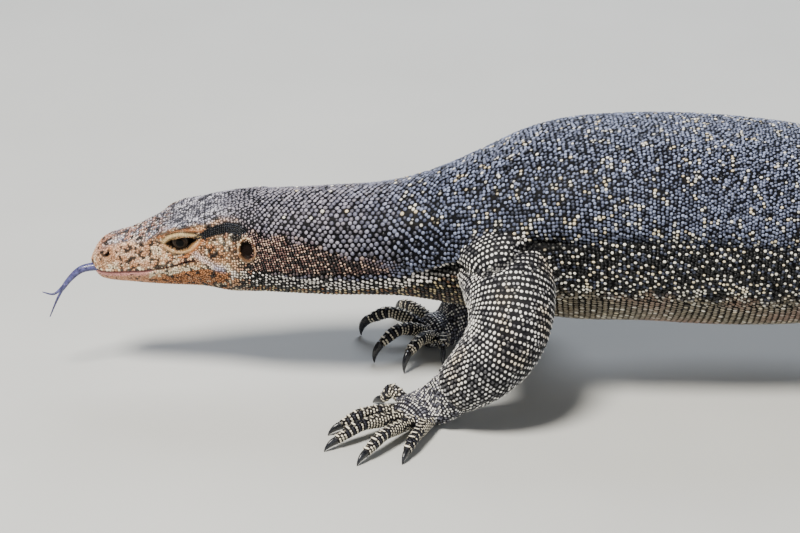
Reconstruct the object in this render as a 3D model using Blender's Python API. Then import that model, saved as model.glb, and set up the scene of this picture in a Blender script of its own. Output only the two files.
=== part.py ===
# Water monitor lizard, life size, standing in mid stride with its forked tongue out.
# Metres, +Z up. The head points to -X and the animal's left side faces -Y.
# Sizes are in millimetres in the animal's own frame: snout tip at x = 0, head midline at y = 0, floor at z = 0.
# At the end every object is moved so that the middle of the whole box stands on the origin.

import math

import bmesh
import bpy
import numpy as np
from mathutils import Matrix, Vector

MM = 0.001
GAP = 0.3  # mm between pieces that meet

# The trunk from the nape to the tip of the tail: x, y and z of the middle, then the half width
# and the half heights above and below the middle.
BODY_STATIONS = {
    "nape": (128, 0, 107, 36, 39, 38),
    "mid neck": (178, 0, 107, 40, 40.5, 40),
    "neck base": (231, 0, 109, 43, 43, 43),
    "breast": (268, 0, 112, 51, 50.5, 52),
    "shoulder": (306, 0, 117, 63, 61, 64),
    "first ribs": (351, 2, 124, 77, 71, 74),
    "ribs": (411, 5, 126, 84, 73.5, 77),
    "belly": (471, 7, 121, 85, 75.5, 76),
    "flank": (531, 6, 117, 80, 72, 72),
    "loin": (590, 2, 110, 68, 63, 60),
    "groin": (645, -6, 103, 55, 54, 50),
    "hip": (690, -15, 97, 47, 48, 44),
    "vent": (742, -28, 87, 38, 41, 38),
    "tail root": (800, -42, 72, 32, 37, 35),
    "tail drop": (900, -62, 45, 25, 32, 30),
    "tail landing": (985, -68, 29, 21, 29, 29.4),
    "tail first bend": (1110, -52, 24.5, 17, 26, 24.9),
    "tail middle": (1300, 26, 19, 11.5, 20, 19.4),
    "tail second bend": (1480, 78, 13, 7, 14, 13.4),
    "tail end": (1640, 62, 8, 4, 8.5, 8.4),
    "tail tip": (1765, 14, 2.6, 1.4, 2.6, 3.0),
}
BODY_ROUND = 2.15  # superellipse power of a cross section, where 2 is an ellipse
CREST_HEIGHT = 0.10  # the tail's double crest, as a share of the half height
CREST_WIDTH = 0.30

# Each length of the body: first and last station, points round it and the step between its rings in mm.
BODY_LENGTHS = {
    "neck": ("nape", "breast", 26, 17),
    "chest": ("breast", "belly", 30, 17),
    "belly": ("belly", "groin", 30, 17),
    "hips": ("groin", "vent", 26, 16),
    "tail_1": ("vent", "tail landing", 20, 24),
    "tail_2": ("tail landing", "tail middle", 18, 30),
    "tail_3": ("tail middle", "tail second bend", 14, 30),
    "tail_4": ("tail second bend", "tail tip", 12, 30),
}

# The head, in mm above the level HEAD_Z. Each profile has one value at each of these places along it.
HEAD_Z = 88
HEAD_X = {
    "tip": 0,
    "nostril": 11,
    "snout": 32,
    "lore": 50,
    "eye": 68,
    "temple": 86,
    "jaw angle": 106,
    "nape": 128,
}
HEAD_PROFILES = {
    "crown z": (12, 20.5, 28, 36, 41.8, 49.5, 54.5, 58),
    "crown edge y": (4, 7, 8, 10, 12, 13.5, 14.5, 17),
    "crown edge z": (11, 19.6, 27.2, 35.4, 42.4, 50, 54, 55.2),
    "brow y": (7.5, 10.5, 12.5, 16, 21.5, 22, 24, 28),
    "brow z": (8, 16, 23.8, 32.5, 42, 44.5, 46, 45.5),
    "orbit y": (8.6, 12, 14.2, 16.6, 19.8, 23.2, 27, 32.5),
    "orbit z": (6, 13, 18.6, 24.5, 31, 34, 36, 36.5),
    "cheek y": (9, 12.8, 15.5, 18, 21, 26.5, 31, 35.2),
    "cheek z": (3.5, 9.5, 13.5, 17.5, 22, 25, 26, 27),
    "lip y": (8.6, 12.8, 16.2, 19.4, 23, 27.8, 31.8, 36),
    "lip z": (-1.6, 0, 1.4, 4.8, 10.8, 17.5, 16, 16),
    "jaw y": (7, 11.4, 15, 18, 21.6, 26, 30.5, 34.4),
    "jaw z": (-5.5, -4.5, -3.5, -2, 1, 3, 3, 4),
    "chin y": (4, 6.5, 9, 11.5, 14, 17.5, 21, 21.6),
    "chin z": (-8.6, -10.8, -12, -12.2, -11.5, -10.5, -12.5, -12.5),
    "throat z": (-10, -12.4, -13.5, -13.6, -13, -12.5, -15.5, -19),
}
HEAD_KEYS = ("crown edge", "brow", "orbit", "cheek", "lip", "jaw", "chin")
HEAD_STEPS = (3, 2, 2, 2, 2, 2, 3, 2)  # points round each stretch of half a head section
SNOUT_ROUND = 9  # mm over which the snout rounds off to its tip
HEAD_ROLL = math.radians(-9)  # the crown leans towards the animal's left side
HEAD_AXIS_Z = 107
MOUTH_LINE = {-4: -2.3, 2: -2.3, 18: -0.7, 40: 2.2, 61: 8.4, 75.5: 15.4, 88: 18}
JAW_REAR = [(100, 9), (110, -30)]  # x and z of the lower jaw's rear edge, below the mouth's corner

EYE = {"x": 69, "y": 11.8, "z": 28.8, "radius": 9.6}
LID_OPENING = {"y": 22.5, "size": (9.4, 6.5, 4.5)}
LID_RADIUS = 1.5
LID_ARCH = {"upper": (11, 5.6), "lower": (11, -5.2)}  # half length and rise of each lid's arc
NOSTRIL = {"x": 12, "y": 12.4, "z": 13.4, "size": (2.6, 3.2, 2.0), "swelling": (4.6, 2.4, 3.6)}
EAR = {"x": 118, "y": 35.5, "z": 26.5, "size": (5.9, 6.4, 8.6), "tilt": math.radians(-12)}

TONGUE_STEM = [(11, 0, 85.6), (0, -1, 85.8), (-8, -2, 84), (-16, -3, 77.5), (-23, -4, 68.5)]
TONGUE_TIPS = {"left": [(-29, -7, 66), (-37, -10, 69)], "right": [(-27, -2, 59.5), (-33.5, 1, 43.6)]}
TONGUE_RADII = (3.6, 3.4, 3.0, 2.4, 1.9)
TIP_RADII = (1.4, 0.5)

# Each limb runs from its socket round its elbow or knee to its wrist or ankle, with radii along it.
# In a foot, heading is the angle from -X towards the animal's outside.
# A toe has its root ahead of and inwards from the palm's middle, its angle, its length and its arch's height.
# A heel is the radius of the ball that rounds the ankle's sharp turn.
LIMBS = {
    "arm_left": {
        "side": -1,
        "path": [(303, -20, 112), (310, -73, 103), (314, -103, 79), (295, -103, 50), (270, -96, 27)],
        "radii": (31, 34.5, 34, 31, 28.5, 25, 18.5),
        "foot": "hand_left",
        "palm": (243, -93, 10.4),
        "heading": 38,
        "palm_size": (19, 10.8),
        "toes": [
            (-2, 14, -42, 23, 18),
            (6, 11, 26, 48, 13),
            (9, 1, 36, 62, 13),
            (7, -9, 54, 62, 13),
            (-3, -14, 70, 52, 11),
        ],
        "toe_radius": (5.8, 4.5),
        "claw": (13, 8, 55),
        "tip_z": 6.4,
    },
    "arm_right": {
        "side": 1,
        "path": [(302, 18, 112), (327, 60, 112), (348, 92, 88), (328, 92, 54), (282, 58, 32)],
        "radii": (30, 33.5, 31.5, 27, 25.5, 23.5, 18.5),
        "foot": "hand_right",
        "palm": (261, 47, 13),
        "heading": -25,
        "palm_size": (19, 13.4),
        "toes": [
            (2, 13, -88, 24, 17),
            (5, 10, -58, 44, 21),
            (8, 2, -34, 46, 24),
            (7, -8, 14, 46, 24),
            (-2, -14, 52, 40, 18),
        ],
        "toe_radius": (5.9, 4.7),
        "claw": (16, 35, 100),
        "tip_z": 14.5,
    },
    "leg_left": {
        "side": -1,
        "path": [(690, -22, 92), (656, -82, 102), (624, -132, 92), (642, -150, 58), (662, -146, 22)],
        "radii": (36, 42, 36, 27.5, 25, 20, 15.5),
        "foot": "foot_left",
        "heel": 15.2,
        "palm": (640, -150, 10.6),
        "heading": 22,
        "palm_size": (20.5, 11),
        "toes": [
            (-3, 14, -26, 34, 12),
            (6, 10, -4, 50, 12),
            (9, 1, 12, 66, 13),
            (7, -9, 30, 78, 14),
            (-8, -15, 76, 48, 12),
        ],
        "toe_radius": (6.0, 4.6),
        "claw": (14, 8, 55),
        "tip_z": 6.6,
    },
    "leg_right": {
        "side": 1,
        "path": [(694, -8, 92), (664, 50, 106), (634, 104, 98), (664, 120, 62), (700, 110, 22)],
        "radii": (36, 42, 36, 27.5, 25, 20, 15.5),
        "foot": "foot_right",
        "heel": 15.2,
        "palm": (678, 113, 10.6),
        "heading": 26,
        "palm_size": (20.5, 11),
        "toes": [
            (-3, 14, -22, 34, 12),
            (6, 10, 2, 50, 12),
            (9, 1, 18, 66, 13),
            (7, -9, 36, 78, 14),
            (-8, -15, 80, 48, 12),
        ],
        "toe_radius": (6.0, 4.6),
        "claw": (14, 8, 55),
        "tip_z": 6.6,
    },
}
LIMB_SIDES = 18
LIMB_RINGS = 13
BEND_EASING = 5  # passes that spread the bend of an elbow or knee over the rings beside it
TOE_SIDES = 8
TOE_KNUCKLES = (1.0, 0.94, 1.04, 0.95, 1.02, 0.84)  # thickness of a toe along its length
CLAW_SIDES = 6
CLAW_TAPER = (0.80, 0.76, 0.66, 0.50, 0.30, 0.09)  # thickness of a claw, as a share of its toe's
CLAW_CLEARANCE = 0.3  # mm from a claw's point to the floor

COLOURS = {
    "hide_dark": ((0.075, 0.082, 0.10, 1), 0.55),
    "hide_spotted": ((0.16, 0.15, 0.135, 1), 0.55),
    "head_tan": ((0.52, 0.32, 0.17, 1), 0.5),
    "tongue_violet": ((0.11, 0.09, 0.20, 1), 0.3),
    "eye_dark": ((0.03, 0.02, 0.015, 1), 0.08),
    "claw_black": ((0.018, 0.017, 0.02, 1), 0.3),
}


def curve_through(keys, values, at):
    """Smooth curve through the values at the keys, with slopes from the neighbours."""
    keys, values, at = (np.asarray(v, float) for v in (keys, values, at))
    slopes = np.gradient(values, keys, axis=0)
    i = np.clip(np.searchsorted(keys, at, side="right") - 1, 0, len(keys) - 2)
    width = keys[i + 1] - keys[i]
    f = (at - keys[i]) / width
    if values.ndim > 1:
        f, width = f[..., None], width[..., None]
    h = f * f * (3 - 2 * f)
    start = f * (1 - f) ** 2 * width * slopes[i]
    end = f * f * (f - 1) * width * slopes[i + 1]
    return values[i] * (1 - h) + values[i + 1] * h + start + end


def material(name):
    found = bpy.data.materials.get(name)
    if found:
        return found
    colour, roughness = COLOURS[name]
    made = bpy.data.materials.new(name)
    made.use_nodes = True
    shader = made.node_tree.nodes["Principled BSDF"]
    shader.inputs["Base Color"].default_value = colour
    shader.inputs["Roughness"].default_value = roughness
    return made


def new_object(name, bm, material_name=None):
    """A mesh object from bm, which is in mm."""
    bmesh.ops.scale(bm, vec=(MM, MM, MM), verts=bm.verts)
    bmesh.ops.recalc_face_normals(bm, faces=bm.faces)
    mesh = bpy.data.meshes.new(name)
    bm.to_mesh(mesh)
    bm.free()
    made = bpy.data.objects.new(name, mesh)
    monitor.objects.link(made)
    if material_name:
        mesh.materials.append(material(material_name))
        mesh.shade_smooth()
    return made


def loft(name, rings, material_name=None):
    """A closed skin over rings of points in mm, which all have the same number of points."""
    bm = bmesh.new()
    rows = [[bm.verts.new(p) for p in ring] for ring in rings]
    sides = len(rows[0])
    for near, far in zip(rows, rows[1:]):
        for i in range(sides):
            j = (i + 1) % sides
            bm.faces.new((near[i], near[j], far[j], far[i]))
    bm.faces.new(rows[0])
    bm.faces.new(rows[-1])
    return new_object(name, bm, material_name)


def ellipsoid(name, centre, size, turn=0.0, segments=16):
    bm = bmesh.new()
    place = Matrix.Translation(centre) @ Matrix.Rotation(turn, 4, "Y") @ Matrix.Diagonal((*size, 1))
    bmesh.ops.create_uvsphere(bm, u_segments=segments, v_segments=segments // 2, radius=1, matrix=place)
    return new_object(name, bm)


def surface_area(piece):
    return sum(face.calc_area() for face in {face for vert in piece for face in vert.link_faces})


def keep_largest(mesh):
    """Leaves only the largest closed surface of a mesh, and merges what a Boolean left doubled."""
    bm = bmesh.new()
    bm.from_mesh(mesh)
    bmesh.ops.remove_doubles(bm, verts=bm.verts, dist=0.02 * MM)
    bmesh.ops.dissolve_degenerate(bm, edges=bm.edges, dist=0.02 * MM)
    left, pieces = set(bm.verts), []
    while left:
        found, reached = set(), [left.pop()]
        while reached:
            vert = reached.pop()
            found.add(vert)
            near = {edge.other_vert(vert) for edge in vert.link_edges} & left
            left -= near
            reached.extend(near)
        pieces.append(found)
    for piece in sorted(pieces, key=surface_area)[:-1]:
        bmesh.ops.delete(bm, geom=list(piece), context="VERTS")
    bm.to_mesh(mesh)
    bm.free()


def apply_boolean(target, operation, others):
    """Joins the others to the target, or cuts it with them, and removes them."""
    tools = bpy.data.collections.new("tools")
    bpy.context.scene.collection.children.link(tools)
    for other in others:
        monitor.objects.unlink(other)
        tools.objects.link(other)
    change = target.modifiers.new("change", "BOOLEAN")
    change.operation = operation
    change.operand_type = "COLLECTION"
    change.collection = tools
    change.solver = "MANIFOLD"
    bpy.context.view_layer.update()
    evaluated = target.evaluated_get(bpy.context.evaluated_depsgraph_get())
    mesh = bpy.data.meshes.new_from_object(evaluated)
    target.modifiers.clear()
    target.data = mesh
    for other in others:
        bpy.data.objects.remove(other)
    bpy.data.collections.remove(tools)
    keep_largest(mesh)
    return target


def copy_of(source, name):
    made = source.copy()
    made.data = source.data.copy()
    made.name = name
    monitor.objects.link(made)
    return made


def body_course():
    """Distance of each station along the body, and a function from distance to its six values."""
    values = np.array(list(BODY_STATIONS.values()), float)
    steps = np.linalg.norm(np.diff(values[:, :3], axis=0), axis=1)
    reach = np.concatenate([[0], np.cumsum(steps)])
    along = dict(zip(BODY_STATIONS, reach))
    return along, lambda at: curve_through(reach, values, at)


def superellipse(angle, half_width, half_height, power):
    """Offsets across and up of a point on the section, at an even angle."""
    c, s = math.cos(angle), math.sin(angle)
    r = (abs(c / half_width) ** power + abs(s / half_height) ** power) ** (-1 / power)
    return r * c, r * s


def body_ring(course, at, sides, grow=0.0, crest=0.0):
    """One cross section of the trunk or tail, square to its course."""
    x, y, z, wide, above, below = course(at)
    ahead = course(at + 1)[:3] - course(at - 1)[:3]
    along = Vector(ahead).normalized()
    across = along.cross(Vector((0, 0, 1))).normalized()
    up = across.cross(along)
    middle = Vector((x, y, z))
    ring = []
    for i in range(sides):
        angle = 2 * math.pi * i / sides
        high = above if math.sin(angle) > 0 else below
        a, b = superellipse(angle, wide + grow, high + grow, BODY_ROUND)
        if math.sin(angle) > 0:
            b *= 1 + crest * math.exp(-((math.cos(angle) / CREST_WIDTH) ** 2))
        ring.append(middle + across * a + up * b)
    return ring


def make_body(along, course):
    """The neck, trunk and tail, in lengths that meet face to face."""
    for name, (first, last, sides, step) in BODY_LENGTHS.items():
        start, end = along[first], along[last] - GAP
        count = max(4, round((end - start) / step))
        crest = CREST_HEIGHT if name.startswith("tail") else 0.0
        rings = []
        for at in np.linspace(start, end, count + 1):
            rising = np.clip((at - along["vent"]) / 200, 0, 1)
            rings.append(body_ring(course, at, sides, crest=crest * rising))
        loft(name, rings, "hide_dark")


def body_core(along, course):
    """The whole trunk, grown by the gap, which cuts the limbs' roots to its surface."""
    reach = np.arange(along["nape"] + 20, along["tail root"], 12)
    return loft("core", [body_ring(course, at, 36, grow=GAP + 0.15) for at in reach])


def head_profile(name, x):
    return float(curve_through(list(HEAD_X.values()), HEAD_PROFILES[name], x))


def head_half(x):
    """The points from the crown down the right side to the throat, as y and z above HEAD_Z."""
    def at(part):
        return head_profile(part + " y", x), head_profile(part + " z", x)

    crown, throat = (0, head_profile("crown z", x)), (0, head_profile("throat z", x))
    key = [crown, *(at(part) for part in HEAD_KEYS), throat]
    mirrored = [(-key[1][0], key[1][1]), *key, (-key[-2][0], key[-2][1])]
    points = np.array(mirrored, float)
    reach = np.concatenate([[0], np.cumsum(np.linalg.norm(np.diff(points, axis=0), axis=1))])
    found = []
    for i, count in enumerate(HEAD_STEPS):
        spots = np.linspace(reach[i + 1], reach[i + 2], count, endpoint=False)
        found.extend(curve_through(reach, points, spots))
    found.append(points[-2])
    return found


def head_ring(x):
    """A whole head section at x, rounded off towards the tip of the snout."""
    half = head_half(x)
    ring = [*half, *((-y, z) for y, z in half[-2:0:-1])]
    round_off = 1.0
    if x < SNOUT_ROUND:
        round_off = math.sqrt(max(0.0, 1 - (1 - x / SNOUT_ROUND) ** 2))
    middle = 3.0
    return [Vector((x, y * round_off, HEAD_Z + middle + (z - middle) * round_off)) for y, z in ring]


def rolled(point):
    """A point of the upright head, turned with the head's roll, which dies out at the nape."""
    x, y, z = point
    ease = min(1.0, max(0.0, (HEAD_X["nape"] - x) / 40))
    angle = HEAD_ROLL * ease * ease * (3 - 2 * ease)
    c, s = math.cos(angle), math.sin(angle)
    up = z - HEAD_AXIS_Z
    return Vector((x, y * c + up * s, HEAD_AXIS_Z - y * s + up * c))


def turned(target):
    """Gives an object of the upright head the head's roll."""
    for vert in target.data.vertices:
        vert.co = rolled(vert.co / MM) * MM
    return target


def jaw_block(name, lift):
    """Everything under the mouth line and ahead of the jaw's rear edge, its edges moved out by lift."""
    xs = np.linspace(-4, 88, 16)
    line = [(x, float(curve_through(list(MOUTH_LINE), list(MOUTH_LINE.values()), x)) + lift) for x in xs]
    rear = [(x + lift, z) for x, z in JAW_REAR]
    outline = [*line, *rear, (-4, JAW_REAR[-1][1])]
    rings = [[(x, y, HEAD_Z + z) for x, z in outline] for y in np.linspace(-48, 48, 9)]
    return loft(name, rings)


def lid_arc(side, half_length, rise):
    """A lid's rim over the eye, as rings of a thin tube that tapers to its corners."""
    rings = []
    for f in np.linspace(-1, 1, 9):
        x = EYE["x"] + half_length * f
        z = EYE["z"] + rise * (1 - abs(f) ** 2.2)
        y = EYE["y"] + EYE["radius"] - 1.8 * f * f - 0.02 * rise * rise
        radius = LID_RADIUS * (1 - 0.45 * abs(f))
        turns = [2 * math.pi * k / 6 for k in range(6)]
        around = [(y + radius * math.cos(a), HEAD_Z + z + radius * math.sin(a)) for a in turns]
        rings.append([(x, side * out, up) for out, up in around])
    return rings


def make_head():
    """The head with its lids, nostrils and ear cups, the lower jaw, the eyes and the tongue."""
    ahead = [0.15, 0.7, 1.7, 3.1, 5, 7.2]
    places = [*ahead, *np.linspace(9.5, HEAD_X["nape"] - GAP, 19)]
    head = loft("head", [head_ring(x) for x in places], "head_tan")
    additions, cutters = [], []
    for side in (-1, 1):
        for name, (half_length, rise) in LID_ARCH.items():
            additions.append(loft(f"{name} lid", lid_arc(side, half_length, rise)))
        x, y, z = NOSTRIL["x"], side * NOSTRIL["y"], HEAD_Z + NOSTRIL["z"]
        additions.append(ellipsoid("swelling", (x, y * 0.86, z), NOSTRIL["swelling"], segments=10))
        cutters.append(ellipsoid("nostril", (x, y * 1.18, z + 0.3), NOSTRIL["size"], segments=8))
        ear = (EAR["x"], side * EAR["y"], HEAD_Z + EAR["z"])
        cutters.append(ellipsoid("ear cup", ear, EAR["size"], EAR["tilt"], segments=12))
        socket = (EYE["x"], side * EYE["y"], HEAD_Z + EYE["z"])
        cutters.append(ellipsoid("socket", socket, [EYE["radius"] + GAP] * 3, segments=14))
        opening = (EYE["x"], side * LID_OPENING["y"], HEAD_Z + EYE["z"])
        cutters.append(ellipsoid("lid opening", opening, LID_OPENING["size"], segments=14))
    apply_boolean(head, "UNION", additions)
    apply_boolean(head, "DIFFERENCE", cutters)
    jaw = copy_of(head, "lower_jaw")
    apply_boolean(jaw, "INTERSECT", [jaw_block("jaw block", 0)])
    apply_boolean(head, "DIFFERENCE", [jaw_block("mouth block", 1.5 * GAP)])
    for side, name in ((-1, "eye_left"), (1, "eye_right")):
        place = (EYE["x"], side * EYE["y"], HEAD_Z + EYE["z"])
        eye = ellipsoid(name, place, [EYE["radius"]] * 3, segments=14)
        eye.data.materials.append(material("eye_dark"))
        eye.data.shade_smooth()
        turned(eye)
    turned(head)
    turned(jaw)
    tongue = make_tongue("tongue", 0.0)
    tongue.data.materials.append(material("tongue_violet"))
    for part in (head, jaw):
        apply_boolean(part, "DIFFERENCE", [make_tongue("tongue slot", GAP)])
    return tongue


def tube_rings(path, radii, sides, flatten=1.0, frame_up=(0, 0, 1)):
    """Rings along a path, each square to it, as high as the radius and flatten times as wide."""
    rings = []
    for i, point in enumerate(path):
        near, far = path[max(0, i - 1)], path[min(len(path) - 1, i + 1)]
        along = (Vector(far) - Vector(near)).normalized()
        across = along.cross(Vector(frame_up)).normalized()
        up = across.cross(along)
        ring = []
        for k in range(sides):
            turn = 2 * math.pi * k / sides
            out = across * (radii[i] * flatten * math.cos(turn))
            ring.append(Vector(point) + out + up * (radii[i] * math.sin(turn)))
        rings.append(ring)
    return rings


def spread_along(points, count):
    """Evenly spaced points on the smooth curve through a few points."""
    points = np.array(points, float)
    reach = np.concatenate([[0], np.cumsum(np.linalg.norm(np.diff(points, axis=0), axis=1))])
    return curve_through(reach, points, np.linspace(0, reach[-1], count))


def make_tongue(name, grow):
    """The forked tongue: a flat stem and two tips that part and turn down."""
    count = 8
    stem = spread_along(TONGUE_STEM, count)
    radii = np.interp(np.linspace(0, 1, count), np.linspace(0, 1, len(TONGUE_RADII)), TONGUE_RADII) + grow
    body = loft(name, tube_rings(stem, radii * 0.72, 8, flatten=1.45, frame_up=(0.3, 0, 1)))
    tips = []
    for side, points in TONGUE_TIPS.items():
        root = Vector(TONGUE_STEM[-1]) + Vector((2.5, -0.9 if side == "left" else 0.9, 4))
        path = spread_along([root, *points], 6)
        thin = np.interp(np.linspace(0, 1, 6), (0, 1), TIP_RADII) + grow
        tips.append(loft(f"{side} tip", tube_rings(path, thin, 6, frame_up=(0.6, 0, 1))))
    return apply_boolean(body, "UNION", tips)


def limb_rings(spec, grow=0.0):
    """Rings from the socket to the wrist, on frames carried along the limb without twist."""
    points = spread_along(spec["path"], LIMB_RINGS)
    for _ in range(BEND_EASING):
        points[1:-1] = (points[:-2] + 2 * points[1:-1] + points[2:]) / 4
    radii = curve_through(np.linspace(0, 1, len(spec["radii"])), spec["radii"], np.linspace(0, 1, LIMB_RINGS))
    turns = [2 * math.pi * k / LIMB_SIDES for k in range(LIMB_SIDES)]
    across = None
    rings = []
    for i, radius in enumerate(radii):
        along = Vector(points[min(i + 2, LIMB_RINGS - 1)] - points[max(i - 2, 0)]).normalized()
        if across is None:
            across = along.cross(Vector((0, 0, 1)))
        across = (across - along * across.dot(along)).normalized()
        up = across.cross(along)
        middle = Vector(points[i])
        rings.append([middle + (across * math.cos(a) + up * math.sin(a)) * (radius + grow) for a in turns])
    return rings


def middle_of(ring):
    return sum(ring, Vector()) / len(ring)


def moved(ring, before, distance):
    """The ring, moved by a distance along the way from the ring before it."""
    shift = (middle_of(ring) - middle_of(before)).normalized() * distance
    return [p + shift for p in ring]


def palm_rings(spec):
    """The hand or foot from the wrist to the knuckles, flat on the floor."""
    wrist, palm = Vector(spec["path"][-1]), Vector(spec["palm"])
    angle = math.radians(spec["heading"])
    ahead = Vector((-math.cos(angle), spec["side"] * math.sin(angle), 0))
    wide, high = spec["palm_size"]
    root = spec["radii"][-1]
    knuckle = palm + ahead * 13
    knuckle.z = high * 0.62
    across = ahead.cross(Vector((0, 0, 1)))
    first = (palm - wrist).normalized()
    wrist_across = (across - first * across.dot(first)).normalized()
    stages = [
        (wrist.lerp(palm, 0.45) + Vector((0, 0, -2.5)), root * 0.93, (root + high) / 2, 0.5),
        (palm - ahead * 5, wide, high, 0.15),
        (palm + ahead * 5, wide * 0.96, high * 0.9, 0.0),
        (knuckle, wide * 0.6, high * 0.55, 0.0),
    ]
    turns = [2 * math.pi * k / LIMB_SIDES for k in range(LIMB_SIDES)]
    rings = []
    for middle, half_width, half_height, tilt in stages:
        side_way = across.lerp(wrist_across, tilt).normalized() * half_width
        up = Vector((0, 0, 1)).lerp(wrist_across.cross(first), tilt).normalized() * half_height
        rings.append([middle + side_way * math.cos(a) + up * math.sin(a) for a in turns])
    return rings


def matched(ring, target):
    """The ring's points in the order that lies nearest the target's, so that a loft doesn't twist."""
    best, least = ring, 1e18
    for way in (ring, ring[::-1]):
        for k in range(len(ring)):
            order = way[k:] + way[:k]
            total = sum((a - b).length_squared for a, b in zip(order, target))
            if total < least:
                best, least = order, total
    return best


def toe_course(spec, toe):
    """The points along one toe, with its arch, and the way it points."""
    ahead_of_palm, inwards, angle, length, arch = toe
    heading, side = math.radians(spec["heading"]), spec["side"]
    ahead = Vector((-math.cos(heading), side * math.sin(heading), 0))
    inner = Vector((-math.sin(heading), -side * math.cos(heading), 0))
    root = Vector(spec["palm"]) + ahead * ahead_of_palm + inner * inwards
    way = Vector((-math.cos(math.radians(angle)), side * math.sin(math.radians(angle)), 0))
    heights = {0: spec["palm"][2] * 0.82, 0.42: arch * 0.86, 0.66: arch * 0.92, 1: spec["tip_z"]}
    points = []
    for share in np.linspace(0, 1, len(TOE_KNUCKLES)):
        z = float(curve_through(list(heights), list(heights.values()), share))
        points.append(Vector((*(root + way * length * share).xy, z)))
    return points, way


def toe_rings(spec, toe):
    points, _ = toe_course(spec, toe)
    taper = np.linspace(*spec["toe_radius"], len(TOE_KNUCKLES))
    return tube_rings(points, taper * TOE_KNUCKLES, TOE_SIDES, flatten=0.96)


def make_claw(name, spec, toe):
    """A curved claw, thin across and pointed, from the toe's end down to the floor."""
    points, way = toe_course(spec, toe)
    length, first_pitch, last_pitch = spec["claw"]
    ahead = (points[-1] - points[-2]).normalized()
    start = points[-1] + ahead * GAP
    steps = len(CLAW_TAPER) - 1
    path, place = [start], start.copy()
    for share in (np.arange(steps) + 0.5) / steps:
        pitch = math.radians(first_pitch + (last_pitch - first_pitch) * share)
        place = place + (way * math.cos(pitch) + Vector((0, 0, -math.sin(pitch)))) * length / steps
        path.append(place)
    radii = [spec["toe_radius"][1] * k for k in CLAW_TAPER]
    rings = tube_rings(path, radii, CLAW_SIDES, flatten=0.66, frame_up=(way.x, way.y, 1))
    rings[0] = [p - ahead * (p - start).dot(ahead) for p in rings[0]]
    lowest = min(p.z for p in rings[-1])
    stretch = (start.z - CLAW_CLEARANCE) / (start.z - lowest)
    for ring in rings[1:]:
        for p in ring:
            p.z = start.z + (p.z - start.z) * stretch
    return loft(name, rings, "claw_black")


def floor_block(name):
    bm = bmesh.new()
    place = Matrix.Translation((800, 0, -50)) @ Matrix.Diagonal((2400, 800, 100, 1))
    bmesh.ops.create_cube(bm, size=1, matrix=place)
    return new_object(name, bm)


def make_limb(name, spec, core):
    """Upper and lower limb, the hand or foot with its toes fused, and five claws."""
    rings, grown = limb_rings(spec), limb_rings(spec, GAP)
    elbow = LIMB_RINGS // 2
    upper = loft(f"{name}_upper", rings[: elbow + 1], "hide_spotted")
    apply_boolean(upper, "DIFFERENCE", [copy_of(core, "core cut")])
    first = moved(rings[elbow], rings[elbow - 1], GAP)
    lower = loft(f"{name}_lower", [first, *rings[elbow + 1 :]], "hide_spotted")
    apply_boolean(lower, "DIFFERENCE", [copy_of(core, "core cut")])
    inside = [p.lerp(middle_of(rings[-1]), 0.4) for p in rings[-1]]
    chain = [moved(inside, rings[-2], -5)]
    for ring in palm_rings(spec):
        chain.append(matched(ring, chain[-1]))
    foot = loft(spec["foot"], chain, "hide_spotted")
    added = [loft("toe", toe_rings(spec, toe)) for toe in spec["toes"]]
    if "heel" in spec:
        added.append(ellipsoid("heel", spec["path"][-1], (spec["heel"],) * 3))
    apply_boolean(foot, "UNION", added)
    shin_cut = loft("shin cut", [*grown[elbow + 1 :], moved(grown[-1], grown[-2], GAP)])
    apply_boolean(foot, "DIFFERENCE", [floor_block("floor"), shin_cut])
    for i, toe in enumerate(spec["toes"], 1):
        make_claw(f"claw_{spec['foot']}_{i}", spec, toe)


def cut_on_floor(names):
    for name in names:
        apply_boolean(bpy.data.objects[name], "DIFFERENCE", [floor_block("floor")])


def centre_all():
    """Moves every mesh so that the middle of the whole box stands on the origin."""
    points = np.array([v.co[:] for o in monitor.objects for v in o.data.vertices])
    low, high = points.min(axis=0), points.max(axis=0)
    shift = Matrix.Translation((-(low[0] + high[0]) / 2, -(low[1] + high[1]) / 2, 0))
    for part in monitor.objects:
        part.data.transform(shift)


for old in list(bpy.data.objects):
    bpy.data.objects.remove(old)
monitor = bpy.data.collections.new("water_monitor")
bpy.context.scene.collection.children.link(monitor)

body_along, body_curve = body_course()
make_body(body_along, body_curve)
cut_on_floor(["tail_1", "tail_2", "tail_3", "tail_4"])
make_head()
trunk_core = body_core(body_along, body_curve)
for limb_name, limb_spec in LIMBS.items():
    make_limb(limb_name, limb_spec, trunk_core)
bpy.data.objects.remove(trunk_core)
centre_all()
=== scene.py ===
# Water monitor lizard, life size: its hide bead by bead, with wet eyes, horn claws and a forked tongue
import math

import bpy
import numpy as np
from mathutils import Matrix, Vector
from mathutils.bvhtree import BVHTree
from mathutils.kdtree import KDTree


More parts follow.
